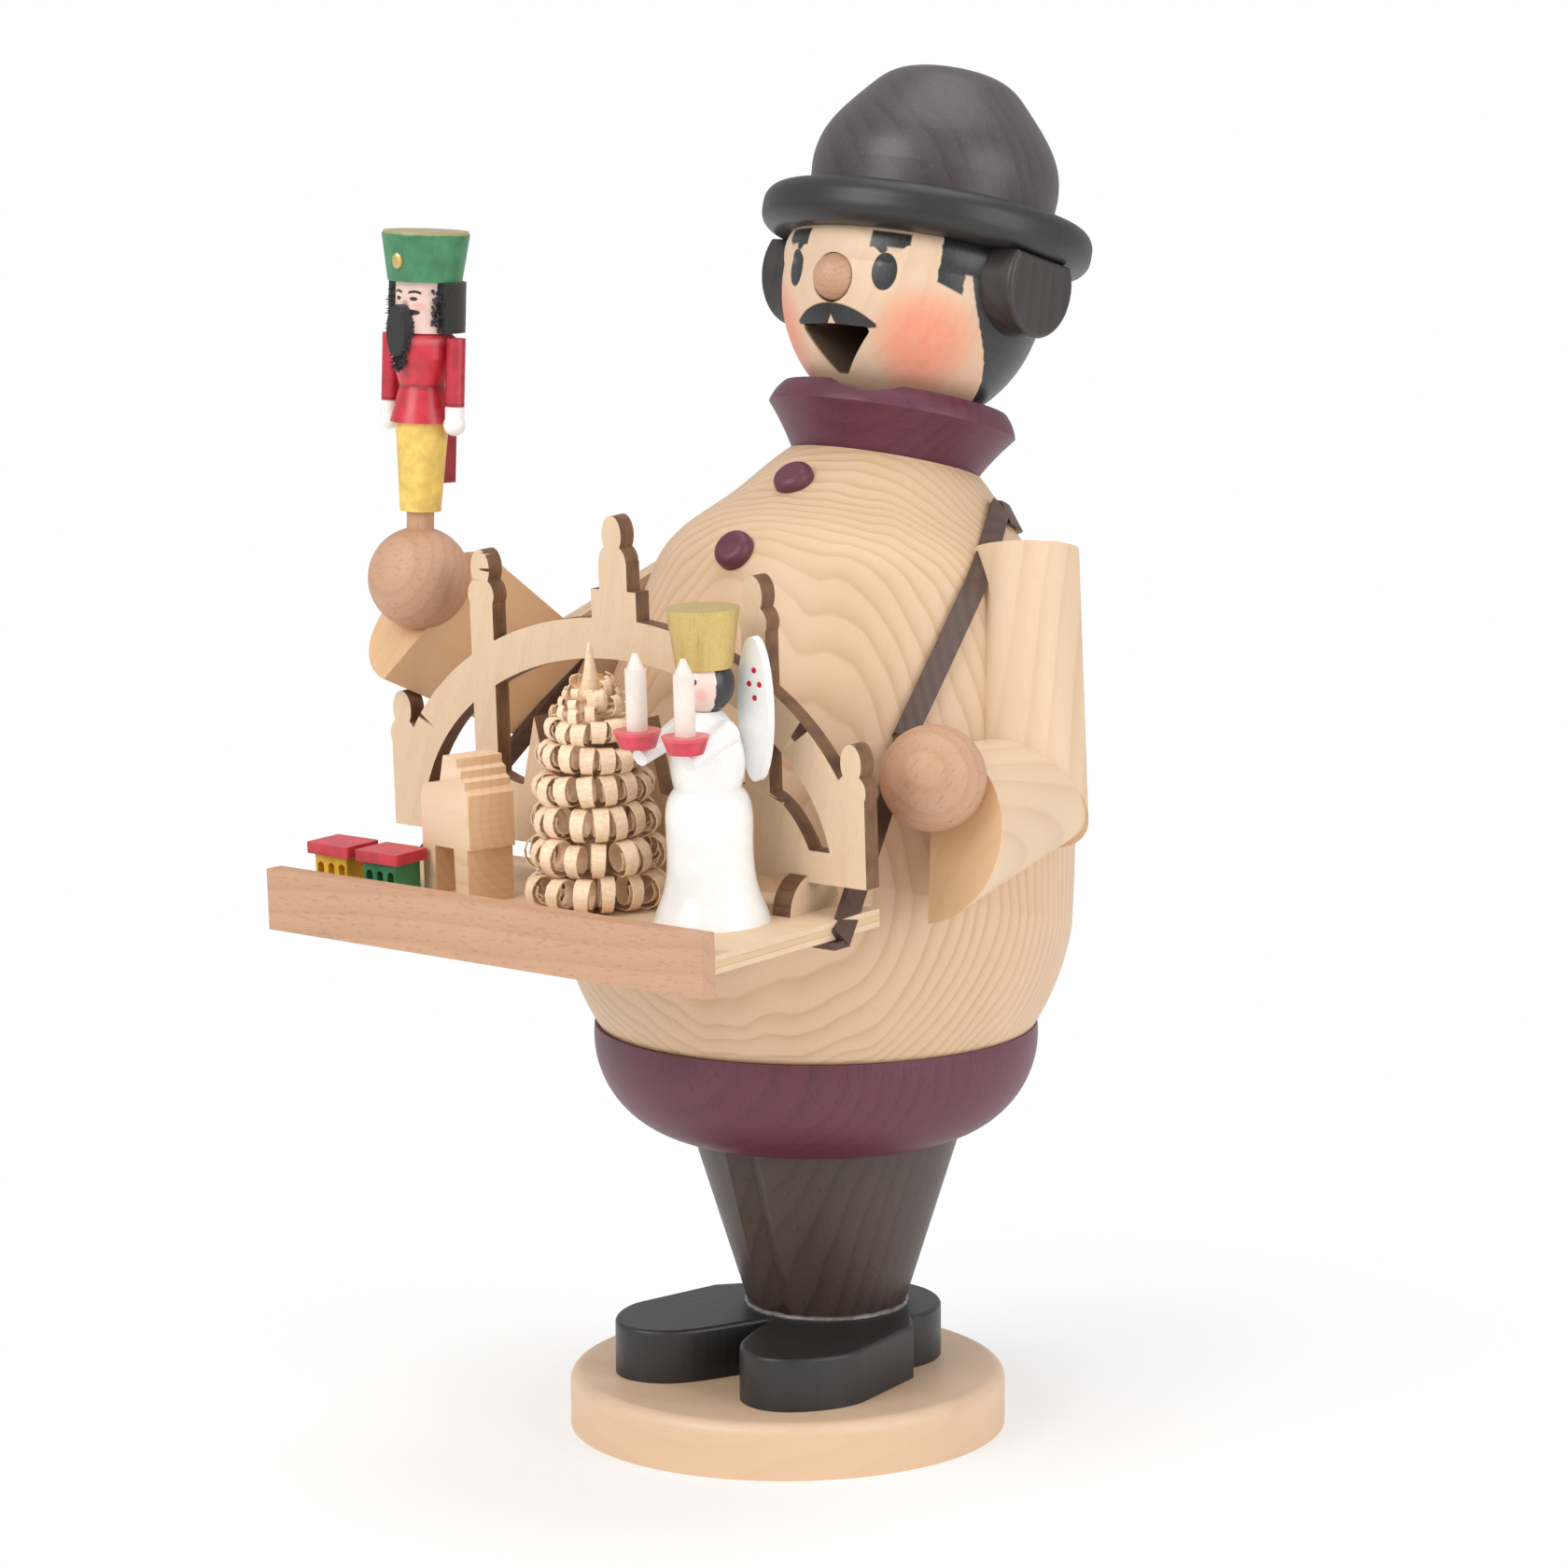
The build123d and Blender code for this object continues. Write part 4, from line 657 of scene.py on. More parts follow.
@dataclass
class Coat:
    """Coat body, collar, buttons and the arms with their hands."""

    sleeve_tilt: float = 9.0
    fibres: dict[str, Point] = field(default_factory=lambda: {
        "upper_sleeve_left": (0.0, 0.25, 1.0),
        "fore_sleeve_left": (0.1, -1.0, 0.15),
        "upper_sleeve_right": (0.1, 0.85, 0.5),
        "fore_sleeve_right": (-0.15, -0.8, 0.55),
    })

    def build(self) -> None:
        """Dress every wooden piece of the figure's trunk and arms."""
        coat = replace(PINE, pith=(-22.0, 62.0, 0.0), fibre=(0.0, -0.10, 1.0), wander=1.6)
        dress("coat_body", self.coat_material(coat))
        violet = replace(VIOLET, pith=(10.0, 40.0, 0.0), fibre=(0.9, 0.2, 0.3))
        dress("collar", violet.on("violet_collar", COAT))
        for node in ("button_upper", "button_lower"):
            dress(node, VIOLET.on(f"violet_{node}", COAT))
        self.sleeves()
        ball = replace(BEECH, pith=(3.0, 16.0, 6.0), fibre=(0.4, 0.5, 0.75), ring=1.9)
        dress("hand_left", ball.on("ball_left", Placing(self.middle("hand_left"))))
        turned = replace(ball, pith=(8.0, 12.0, -4.0), fibre=(0.9, 0.2, 0.4))
        dress("hand_right", turned.on("ball_right", Placing(self.middle("hand_right"))))
        for node in ("arm_dowel_left", "arm_dowel_right"):
            dress(node, BEECH.on(f"peg_{node}", COAT))

    @staticmethod
    def middle(node: str) -> Point:
        """Middle of a node's box in millimetres."""
        low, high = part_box(node)
        return tuple((a + b) / 2 / MM for a, b in zip(low, high))

    def coat_material(self, wood: Wood) -> bpy.types.Material:
        """Turned pine with fine lathe lines, and painted shade on the inner faces of the coat."""
        paint = Paint("pine_coat")
        colour, relief = wood.grain(paint, COAT)
        x, y, z = paint.parts(paint.local(HEM))
        radius = (x * x + y * y).math("SQRT")
        # Painted shade: the coat's inner faces, within 22.5 mm of the axis and up to 66 mm above the hem, are
        # darkened towards deep brown.
        inner_coat_shade = radius.below(22.5, 0.6).both(z.below(66.0, 1.0))
        colour = paint.mix(inner_coat_shade * 0.6, colour, (0.16, 0.10, 0.055))
        return paint.finish(colour, (relief - 0.5) * 0.16 + 0.45, relief, 0.02, 0.1)

    def sleeves(self) -> None:
        """Split pine: pale round side, striped flat side and orange end grain at the wrist."""
        for side, word in ((1, "left"), (-1, "right")):
            for piece in ("upper_sleeve", "fore_sleeve"):
                node = f"{piece}_{word}"
                middle = self.middle(node)
                along = Vector(self.fibres[node])
                wood = replace(SPLIT_PINE, pith=(side * 24.0, 18.0, -20.0), fibre=tuple(along.normalized()))
                paint = Paint(f"split_pine_{node}")
                colour, relief = wood.grain(paint, Placing(middle))
                tilt = math.radians(self.sleeve_tilt)
                inward = Vector((side * math.cos(tilt), 0.0, math.sin(tilt)))
                flat = paint.normal_along(inward).above(0.955, 0.03)
                ends = paint.normal_along(along.normalized()).above(0.80, 0.12)
                colour = paint.mix(ends * 0.55, colour, (0.70, 0.40, 0.17))
                if piece == "fore_sleeve" and word == "right":
                    colour = paint.mix(flat * 0.45, colour, (0.72, 0.43, 0.20))
                dress(node, paint.finish(colour, (relief - 0.5) * 0.18 + 0.5, relief, 0.02, 0.04))


@dataclass
class Face:
    """The doll's head: painted hair, brows, eyes, cheeks, moustache, nose, and the hat and ear muffs."""

    eye_level: float = 25.7
    eye_angle: float = 25.0
    brow_level: float = 30.4
    eye_size: tuple[float, float] = (5.6, 2.75)
    glint_size: tuple[float, float] = (1.5, 0.5)
    cheek_level: float = 16.8
    cheek_angle: float = 48.0
    cheek_size: tuple[float, float] = (22.0, 6.4)
    jaw_curve_squared: float = 446.7
    jaw_level: float = 26.33
    jaw_inset: float = 1.52

    def build(self) -> None:
        """Paint the head and dress the hat."""
        dress("head", self.head_material())
        nose = replace(BEECH, pith=(1.5, 0.0, 2.5), fibre=(0.15, 1.0, 0.1), ring=1.1, line=0.5)
        dress("nose", nose.on("beech_nose", NOSE))
        dress("hat_brim", BLACK.on("black_brim", COAT))
        dress("hat_crown", SLATE.on("slate_crown", COAT))
        for word in ("left", "right"):
            muff = replace(BLACK, early=(0.034, 0.027, 0.026), pith=(0.0, 20.0, 10.0))
            dress(f"ear_muff_{word}", muff.on(f"black_muff_{word}", COAT))

    @staticmethod
    def oval(
        across: Value, up: Value, centre: tuple[float, float], size: tuple[float, float], blur: float,
    ) -> Value:
        """Mask of an oval.

        Args:
            across: Coordinate across.
            up: Coordinate upwards.
            centre: Where its middle is.
            size: Half width and half height.
            blur: Width of its soft edge, as a share.

        Returns:
            The mask.
        """
        x = (across - centre[0]) / size[0]
        y = (up - centre[1]) / size[1]
        return (x * x + y * y).below(1.0, blur)

    def head_material(self) -> bpy.types.Material:
        """Natural wood with the painted face, and painted shade in the cut mouth."""
        paint = Paint("painted_head")
        wood = Wood(
            (0.72, 0.52, 0.36), (0.60, 0.40, 0.24), ring=2.0, line=0.3,
            pith=(8.0, 45.0, 20.0), roughness=0.45,
        )
        colour, relief = wood.grain(paint, COAT)
        x, y, s = paint.parts(paint.local(COAT))
        radius = (x * x + y * y).math("SQRT")
        angle = x.math("ARCTAN2", y * -1.0) * math.degrees(1.0)
        spread = abs(angle)
        edge = paint.noise(paint.local(COAT), 0.9, 3.0)
        cheek = self.oval(spread, s, (self.cheek_angle, self.cheek_level), self.cheek_size, 1.5)
        blush = cheek * (edge * 0.5 + 0.62) * 0.78
        colour = paint.mix(blush, colour, (0.80, 0.20, 0.11))
        jaw_glow = self.oval(spread, s, (86.0, 14.0), (30.0, 6.0), 1.6) * 0.25
        colour = paint.mix(jaw_glow, colour, (0.80, 0.36, 0.24))
        eye = self.oval(spread, s, (self.eye_angle, self.eye_level), self.eye_size, 0.10)
        left, right = (
            self.oval(angle, s, (middle - 2.6, self.eye_level + 1.1), self.glint_size, 0.5)
            for middle in (self.eye_angle, -self.eye_angle)
        )
        glint = left.either(right)
        brow_low = self.brow_level - 1.9 + (spread - 24.0) * (spread - 24.0) * 0.012
        notch = (spread * 0.9).math("SINE") * 0.25
        brow = (s - brow_low + notch).above(0.0, 0.2)
        brow = brow.both(spread.above(17.0, 0.8)).both(spread.below(34.5, 0.8)).both(s.below(31.6, 0.3))
        low_half = spread.above(25.0, 1.5).both(s.below(29.3, 0.3))
        brow = brow * (1 - low_half * 0.85)
        lash = self.moustache(angle, s)
        hair = self.hair(spread, s, edge)
        black = eye.either(brow).either(lash).either(hair)
        brushed = paint.noise(paint.join(x * 4.0, y * 4.0, s * 1.1), 1.0, 3.0, 0.7).ramp_between(0.45, 0.8)
        ink = paint.mix(brushed * 0.5, (0.014, 0.013, 0.014), (0.075, 0.066, 0.062))
        colour = paint.mix(black, colour, ink)
        colour = paint.mix(glint * eye, colour, (0.075, 0.070, 0.072))
        # Painted shade in the cut mouth: faces more than about half a millimetre below the head's outer
        # curve, between heights 9 and 26, are darkened towards deep brown.
        above_jaw = s - self.jaw_level
        skin = (self.jaw_curve_squared - above_jaw * above_jaw).math("SQRT") - self.jaw_inset
        mouth_shade = (radius - skin).below(-0.45, 0.4).both(s.below(26.0, 0.5)).both(s.above(9.0, 0.5))
        colour = paint.mix(mouth_shade * 0.82, colour, (0.060, 0.036, 0.022))
        rough = (relief - 0.5) * 0.15 + 0.45 - black * 0.12
        return paint.finish(colour, rough, relief, 0.015, 0.08)

    def moustache(self, angle: Value, s: Value) -> Value:
        """Painted moustache that rides over the mouth's upper edge, with a notch in the middle."""
        top = 20.6 - abs(angle) * abs(angle) * 0.0044
        wings = (top - s).above(0.0, 0.25)
        low = 16.2 + abs(angle) * 0.06
        body = wings.both((s - low).above(0.0, 0.25)).both(abs(angle).below(24.0, 1.0))
        notch = (s + abs(angle) * 0.55).below(18.9, 0.35)
        return body * (1 - notch.both(abs(angle).below(7.0, 1.0)))

    def hair(self, spread: Value, s: Value, edge: Value) -> Value:
        """Black hair behind a line down each cheek, with a short tongue before the ear."""
        ragged = (edge - 0.5) * 2.2
        behind = spread + ragged - (30.5 - s) * (30.5 - s) * 0.098
        nape = behind.above(62.5, 0.9)
        tongue = (spread + ragged).above(48.0, 0.7).both((spread + ragged).below(60.0, 0.9))
        tongue = tongue.both((s + spread * 0.10).above(30.2, 0.3))
        crown = (spread + ragged).above(48.0, 0.7).both(s.above(27.2, 0.3))
        return nape.either(tongue).either(crown)


@dataclass
class Wares:
    """Tray, stalls, animal and the candle arch that stands on two feet."""

    arch_y: float = 30.5
    arch_thickness: float = 2.8

    def build(self) -> None:
        """Dress the wares and scorch the arch."""
        strip = replace(BEECH, fibre=(1.0, 0.02, 0.03), pith=(0.0, 30.0, 40.0), ring=3.0)
        dress("tray_front_strip", strip.on("beech_strip", TRAY))
        dress("tray_board", self.ply_material("tray_ply", Vector((0, 0, 1)), 2.9, 2.6, 3))
        houses = {"toy_house_yellow": (0.80, 0.50, 0.035), "toy_house_green": (0.045, 0.24, 0.10)}
        for node, colour in houses.items():
            dress(node, Lacquer(colour, 0.45, 0.1).on(f"paint_{node}", TRAY))
        for node in ("toy_roof_yellow", "toy_roof_green"):
            dress(node, Lacquer((0.60, 0.035, 0.055), 0.4, 0.1).on(f"paint_{node}", TRAY))
        dress("ring_turned_animal", self.animal_material())
        self.arch()

    def ply_material(self, name: str, across: Vector, start: float, thick: float, plies: int,
                     burnt: bool = False) -> bpy.types.Material:
        """Plywood with its plies on the cut edges.

        Args:
            name: Name of the material.
            across: Direction through the plies, in the tray's axes.
            start: Where the first ply starts on that direction, in millimetres.
            thick: Thickness of the board.
            plies: How many plies it has.
            burnt: Whether the cut edges are scorched.

        Returns:
            The finished material.
        """
        paint = Paint(name)
        face_fibre = (1.0, 0.0, 0.0) if abs(across.z) > 0.5 else (0.25, 0.0, 1.0)
        wood = Wood((0.70, 0.52, 0.35), (0.60, 0.41, 0.25), ring=4.5, line=0.28, wander=3.0,
                    fibre=face_fibre, pith=(0.0, 26.0, 44.0), fleck=0.25, fleck_colour=(0.60, 0.38, 0.20))
        colour, relief = wood.grain(paint, TRAY)
        axes = paint.parts(paint.local(TRAY))
        depth = (axes[2] if abs(across.z) > 0.5 else axes[1]) - start
        facing = paint.normal_along(TRAY.turn() @ across)
        cut = facing.below(0.6, 0.1)
        ply = (depth / (thick / plies)).math("FRACT")
        odd = (depth / (2 * thick / plies)).math("FRACT").above(0.5, 0.06)
        glue = ply.below(0.10, 0.08)
        layer = paint.mix(odd * 0.45, colour, (0.58, 0.36, 0.18))
        layer = paint.mix(glue * 0.6, layer, (0.34, 0.20, 0.10))
        if burnt:
            soot = paint.noise(paint.local(TRAY), 0.35, 3.0)
            layer = paint.mix(soot.ramp_between(0.2, 0.62), (0.085, 0.036, 0.016), (0.20, 0.092, 0.038))
            layer = paint.mix(glue * 0.5, layer, (0.045, 0.020, 0.010))
        colour = paint.mix(cut, colour, layer)
        return paint.finish(colour, (relief - 0.5) * 0.2 + 0.55, relief, 0.02)

    def animal_material(self) -> bpy.types.Material:
        """Light split side and orange turned faces with fine steps."""
        paint = Paint("turned_animal")
        wood = Wood((0.80, 0.59, 0.40), (0.60, 0.37, 0.19), ring=1.5, line=0.5, fibre=(0.94, -0.33, 0.1),
                    pith=(-15.0, 30.0, 18.0))
        colour, relief = wood.grain(paint, TRAY)
        forward = TRAY.turn() @ Vector((0.9455, -0.3256, 0.0))
        across = TRAY.turn() @ Vector((0.3256, 0.9455, 0.0))
        front = paint.normal_along(forward).above(0.55, 0.2)
        side = paint.normal_along(across).above(0.9, 0.1)
        colour = paint.mix(front * 0.55, colour, (0.72, 0.42, 0.20))
        colour = paint.mix((1 - front.either(side)) * 0.25, colour, (0.70, 0.42, 0.22))
        x, y, z = paint.parts(paint.local(TRAY))
        ridges = (z * 5.5).math("SINE") * 0.5 + 0.5
        relief = relief * 0.6 + ridges * (1 - side) * 0.4
        return paint.finish(colour, 0.55, relief, 0.06)

    def arch(self) -> None:
        """Scorch the edges of a merged copy of the CAD arch, and of its feet."""
        arch = Tool.cad_copy("candle_arch", "candle_arch_cut")
        scorched = self.ply_material(
            "scorched_ply", Vector((0, 1, 0)), self.arch_y, self.arch_thickness, 3, True,
        )
        place_piece(arch, scorched, Body.FIGURE, "burnt_ply", "candle_arch")
        for word in ("left", "right"):
            foot = self.ply_material(f"scorched_foot_{word}", Vector((1, 0, 0)), 0.0, 3.2, 3, True)
            dress(f"arch_foot_{word}", foot)


@dataclass
class CurlTree:
    """Tree of rolled shavings on a pointed stick."""

    tiers: Sequence[tuple[float, float, float]] = field(default_factory=lambda: (
        (0.2, 10.6, 2.75), (5.3, 10.3, 2.65), (10.2, 9.6, 2.5),
        (15.0, 8.8, 2.3), (19.6, 7.9, 2.05), (23.6, 7.0, 1.7),
    ))
    leaf_tiers: Sequence[tuple[float, float]] = ((26.4, 6.2), (28.2, 5.2), (29.6, 4.0))
    curls: int = 15
    strip: float = 1.9
    shaving: float = 0.16
    stem_radius: float = 1.9
    top: float = 37.3

    def build(self) -> None:
        """Build the stick, its tiers of curls and the ragged leaves above them."""
        random.seed(11)
        pieces = [self.stem()]
        for height, reach, roll in self.tiers:
            pieces.append(self.tier(height, reach, roll))
        for height, reach in self.leaf_tiers:
            pieces.append(self.leaves(height, reach))
        Tool.clear()
        for piece in pieces:
            piece.select_set(True)
        bpy.context.view_layer.objects.active = pieces[0]
        bpy.ops.object.join()
        tree = Tool.take("shaved_tree")
        tree.data.transform(Matrix.Translation(Vector(TREE.origin) * MM) @ TREE.turn().to_4x4())
        Tool.smooth(tree, 40)
        place_piece(tree, self.material(), Body.FIGURE, "shaving", "curl_tree")

    def material(self) -> bpy.types.Material:
        """Thin shaving: pale and streaked, with painted shade near the stick and lower down."""
        paint = Paint("shaving_wood")
        x, y, z = paint.parts(paint.local(TREE))
        streak = paint.noise(paint.join(x * 1.2, y * 1.2, z * 2.4), 1.0, 4.0, 0.6)
        # Painted shade among the curls: darker towards the stick, and reaching further out low on the tree.
        radius = (x * x + y * y).math("SQRT") + z * 0.16
        stick_shade = radius.below(6.2, 3.6)
        colour = paint.ramp(
            streak, ((0.25, (0.76, 0.52, 0.33)), (0.5, (0.88, 0.66, 0.45)), (0.75, (0.94, 0.77, 0.58))),
        )
        colour = paint.mix(stick_shade * 0.35, colour, (0.60, 0.36, 0.19))
        return paint.finish(colour, 0.55, streak, 0.03)

    def stem(self) -> bpy.types.Object:
        """Stick with a shaved point."""
        Tool.clear()
        bpy.ops.mesh.primitive_cylinder_add(
            vertices=20, radius=self.stem_radius * MM, depth=28.0 * MM, location=(0, 0, 14.0 * MM)
        )
        stem = Tool.take("tree_stem")
        Tool.settle(stem)
        stem.select_set(True)
        bpy.context.view_layer.objects.active = stem
        bpy.ops.object.mode_set(mode="EDIT")
        for lift, share in ((2.2, 0.86), (2.2, 0.62), (0.0, 0.72), (4.6, 0.25)):
            Tool.pick(stem, "faces", lambda face: face.normal.z > 0.9)
            bpy.ops.mesh.extrude_region_move(TRANSFORM_OT_translate={"value": (0, 0, lift * MM)})
            top = max(vertex.co.z for vertex in bmesh.from_edit_mesh(stem.data).verts)
            bpy.ops.transform.resize(value=(share, share, 1.0), center_override=(0, 0, top))
        bpy.ops.object.mode_set(mode="OBJECT")
        return stem

    def curl(self, reach: float, roll: float, turns: float) -> bpy.types.Object:
        """One shaving that leaves the stick, arches out and rolls up inwards.

        Args:
            reach: How far out it goes.
            roll: Radius of the roll.
            turns: How far it rolls, as a share of a whole turn.

        Returns:
            The curl, its root at the origin and its run along x.
        """
        Tool.clear()
        bpy.ops.mesh.primitive_plane_add(size=1.0)
        curl = Tool.take("curl")
        run = reach - roll - self.stem_radius * 0.6
        for vertex in curl.data.vertices:
            x = (vertex.co.x + 0.5) * run * 0.5 + self.stem_radius * 0.6
            vertex.co = Vector((x, vertex.co.y * self.strip * 0.7, 0.0)) * MM
        bpy.ops.object.mode_set(mode="EDIT")
        end = self.stem_radius * 0.6 + run * 0.5
        edge_x, edge_z, heading = end, 0.0, 0.0
        steps = 17
        length = run * 0.5 + roll * math.tau * turns
        for step in range(steps):
            share = (step + 0.5) / steps
            stride = length / steps
            along = stride * (step + 0.5)
            if along > run * 0.5:
                radius = roll * (1.0 - 0.38 * (along - run * 0.5) / (roll * math.tau * turns))
                heading += stride / radius
            Tool.pick(curl, "edges", lambda edge: all(
                abs(v.co.x - edge_x * MM) < 1e-6 and abs(v.co.z - edge_z * MM) < 1e-6 for v in edge.verts
            ))
            dx, dz = math.cos(heading) * stride, math.sin(heading) * stride
            bpy.ops.mesh.extrude_edges_move(TRANSFORM_OT_translate={"value": (dx * MM, 0, dz * MM)})
            edge_x, edge_z = edge_x + dx, edge_z + dz
            if share < 0.4:
                bpy.ops.transform.resize(value=(1.0, 1.07, 1.0))
            shape = bmesh.from_edit_mesh(curl.data)
            chosen = [vertex for vertex in shape.verts if vertex.select]
            edge_x = sum(vertex.co.x for vertex in chosen) / len(chosen) / MM
            edge_z = sum(vertex.co.z for vertex in chosen) / len(chosen) / MM
        bpy.ops.object.mode_set(mode="OBJECT")
        Tool.apply(curl, "SOLIDIFY", thickness=self.shaving * MM, offset=0.0)
        return curl

    def tier(self, height: float, reach: float, roll: float) -> bpy.types.Object:
        """Ring of curls at one height, each a little different."""
        curl = self.curl(reach, roll, 1.05)
        places = []
        shift = random.uniform(0.0, 1.0)
        for index in range(self.curls):
            turn = (index + shift + random.uniform(-0.14, 0.14)) * math.tau / self.curls
            size = random.uniform(0.92, 1.04)
            place = Matrix.Rotation(turn, 4, "Z")
            place = place @ Matrix.Translation((0, 0, (height + random.uniform(-0.25, 0.3)) * MM))
            place = place @ Matrix.Rotation(math.radians(random.uniform(-5, 8)), 4, "X")
            places.append(place @ Matrix.Diagonal((size, size, random.uniform(0.93, 1.08), 1.0)))
        return Tool.copies(curl, places, f"tier_{int(height)}")

    def leaves(self, height: float, reach: float) -> bpy.types.Object:
        """Ragged short leaves that stick out near the top."""
        curl = self.curl(reach, reach * 0.30, 0.32)
        places = []
        for index in range(13):
            turn = (index + random.uniform(-0.3, 0.3)) * math.tau / 13
            place = Matrix.Rotation(turn, 4, "Z") @ Matrix.Translation((0, 0, height * MM))
            place = place @ Matrix.Rotation(math.radians(random.uniform(-28, 12)), 4, "Y")
            places.append(place @ Matrix.Diagonal((random.uniform(0.75, 1.05), 0.62, 1.0, 1.0)))
        return Tool.copies(curl, places, f"leaves_{int(height)}")


@dataclass
class Angel:
    """White lacquered angel with a gold crown, red dishes, candles and wings."""

    dots: Sequence[tuple[float, float]] = ((5.6, 34.7), (4.7, 32.8), (6.5, 32.8), (5.6, 30.9))
    dot_radius: float = 0.42

    def build(self) -> None:
        """Dress the angel's nodes."""
        white = Lacquer((0.86, 0.86, 0.84), 0.22, 0.5, uneven=0.03, grain=0.05)
        for node in ("angel_body", "angel_arms"):
            dress(node, white.on(f"white_{node}", ANGEL))
        dress("angel_wings", self.wing_material(white))
        dress("angel_head", self.head_material())
        dress("angel_crown", self.gold())
        dress("angel_dishes", self.dish_material())
        candle = Lacquer((0.80, 0.70, 0.62), 0.4, 0.2, uneven=0.06, grain=0.2)
        dress("angel_candles", candle.on("cream_candle", ANGEL))

    def wing_material(self, white: Lacquer) -> bpy.types.Material:
        """White wings with a few red dots on the front of each."""
        paint = Paint("dotted_wings")
        colour, relief = white.base(paint, ANGEL)
        x, y, z = paint.parts(paint.local(ANGEL))
        side = abs(x)
        dots = None
        for place in self.dots:
            dot = Face.oval(side, z, place, (self.dot_radius, self.dot_radius), 0.3)
            dots = dot if dots is None else dots.either(dot)
        colour = paint.mix(dots, colour, (0.55, 0.02, 0.03))
        return paint.finish(colour, 0.25, relief, 0.03, 0.4)

    def head_material(self) -> bpy.types.Material:
        """Pale face with dotted eyes, a small mouth and black hair at the back."""
        paint = Paint("angel_face")
        skin = Lacquer((0.86, 0.66, 0.58), 0.35, 0.3, uneven=0.05, grain=0.1)
        colour, relief = skin.base(paint, ANGEL)
        x, y, z = paint.parts(paint.local(ANGEL))
        angle = x.math("ARCTAN2", y * -1.0) * math.degrees(1.0)
        spread = abs(angle)
        cheek = Face.oval(spread, z, (34.0, 32.0), (13.0, 0.9), 1.4) * 0.35
        colour = paint.mix(cheek, colour, (0.85, 0.30, 0.24))
        eye = Face.oval(spread, z, (20.0, 33.8), (5.0, 0.40), 0.3)
        mouth = Face.oval(angle, z, (0.0, 31.4), (7.0, 0.24), 0.4)
        wave = paint.noise(paint.local(ANGEL), 0.8, 2.0)
        hair = (spread + (wave - 0.5) * 14.0).above(62.0, 2.0)
        colour = paint.mix(mouth, colour, (0.60, 0.06, 0.07))
        colour = paint.mix(eye.either(hair), colour, (0.018, 0.016, 0.018))
        return paint.finish(colour, 0.35, relief, 0.02, 0.3)

    def gold(self) -> bpy.types.Material:
        """Gold bronze paint with darker streaks."""
        paint = Paint("gold_bronze")
        x, y, z = paint.parts(paint.local(ANGEL))
        sparkle = paint.noise(paint.join(x * 3.0, y * 3.0, z * 3.0), 1.0, 4.0, 0.7)
        streak = paint.noise(paint.join(x * 2.2, y * 2.2, z * 0.25), 1.0, 2.0)
        colour = paint.mix(sparkle, (0.46, 0.31, 0.09), (0.74, 0.56, 0.22))
        colour = paint.mix(streak.ramp_between(0.55, 0.8) * 0.5, colour, (0.36, 0.24, 0.08))
        return paint.finish(colour, sparkle * 0.25 + 0.28, sparkle, 0.03, 0.1, metallic=0.55)

    def dish_material(self) -> bpy.types.Material:
        """Red dishes with a painted highlight on their upper rim."""
        paint = Paint("red_dish")
        red = Lacquer((0.62, 0.030, 0.060), 0.3, 0.4)
        colour, relief = red.base(paint, ANGEL)
        x, y, z = paint.parts(paint.local(ANGEL))
        # Painted highlight: the dishes are lightened towards a pale red above 27.1 mm.
        rim = z.above(27.1, 0.2)
        colour = paint.mix(rim * 0.4, colour, (0.80, 0.14, 0.16))
        return paint.finish(colour, 0.3, relief, 0.03, 0.4)


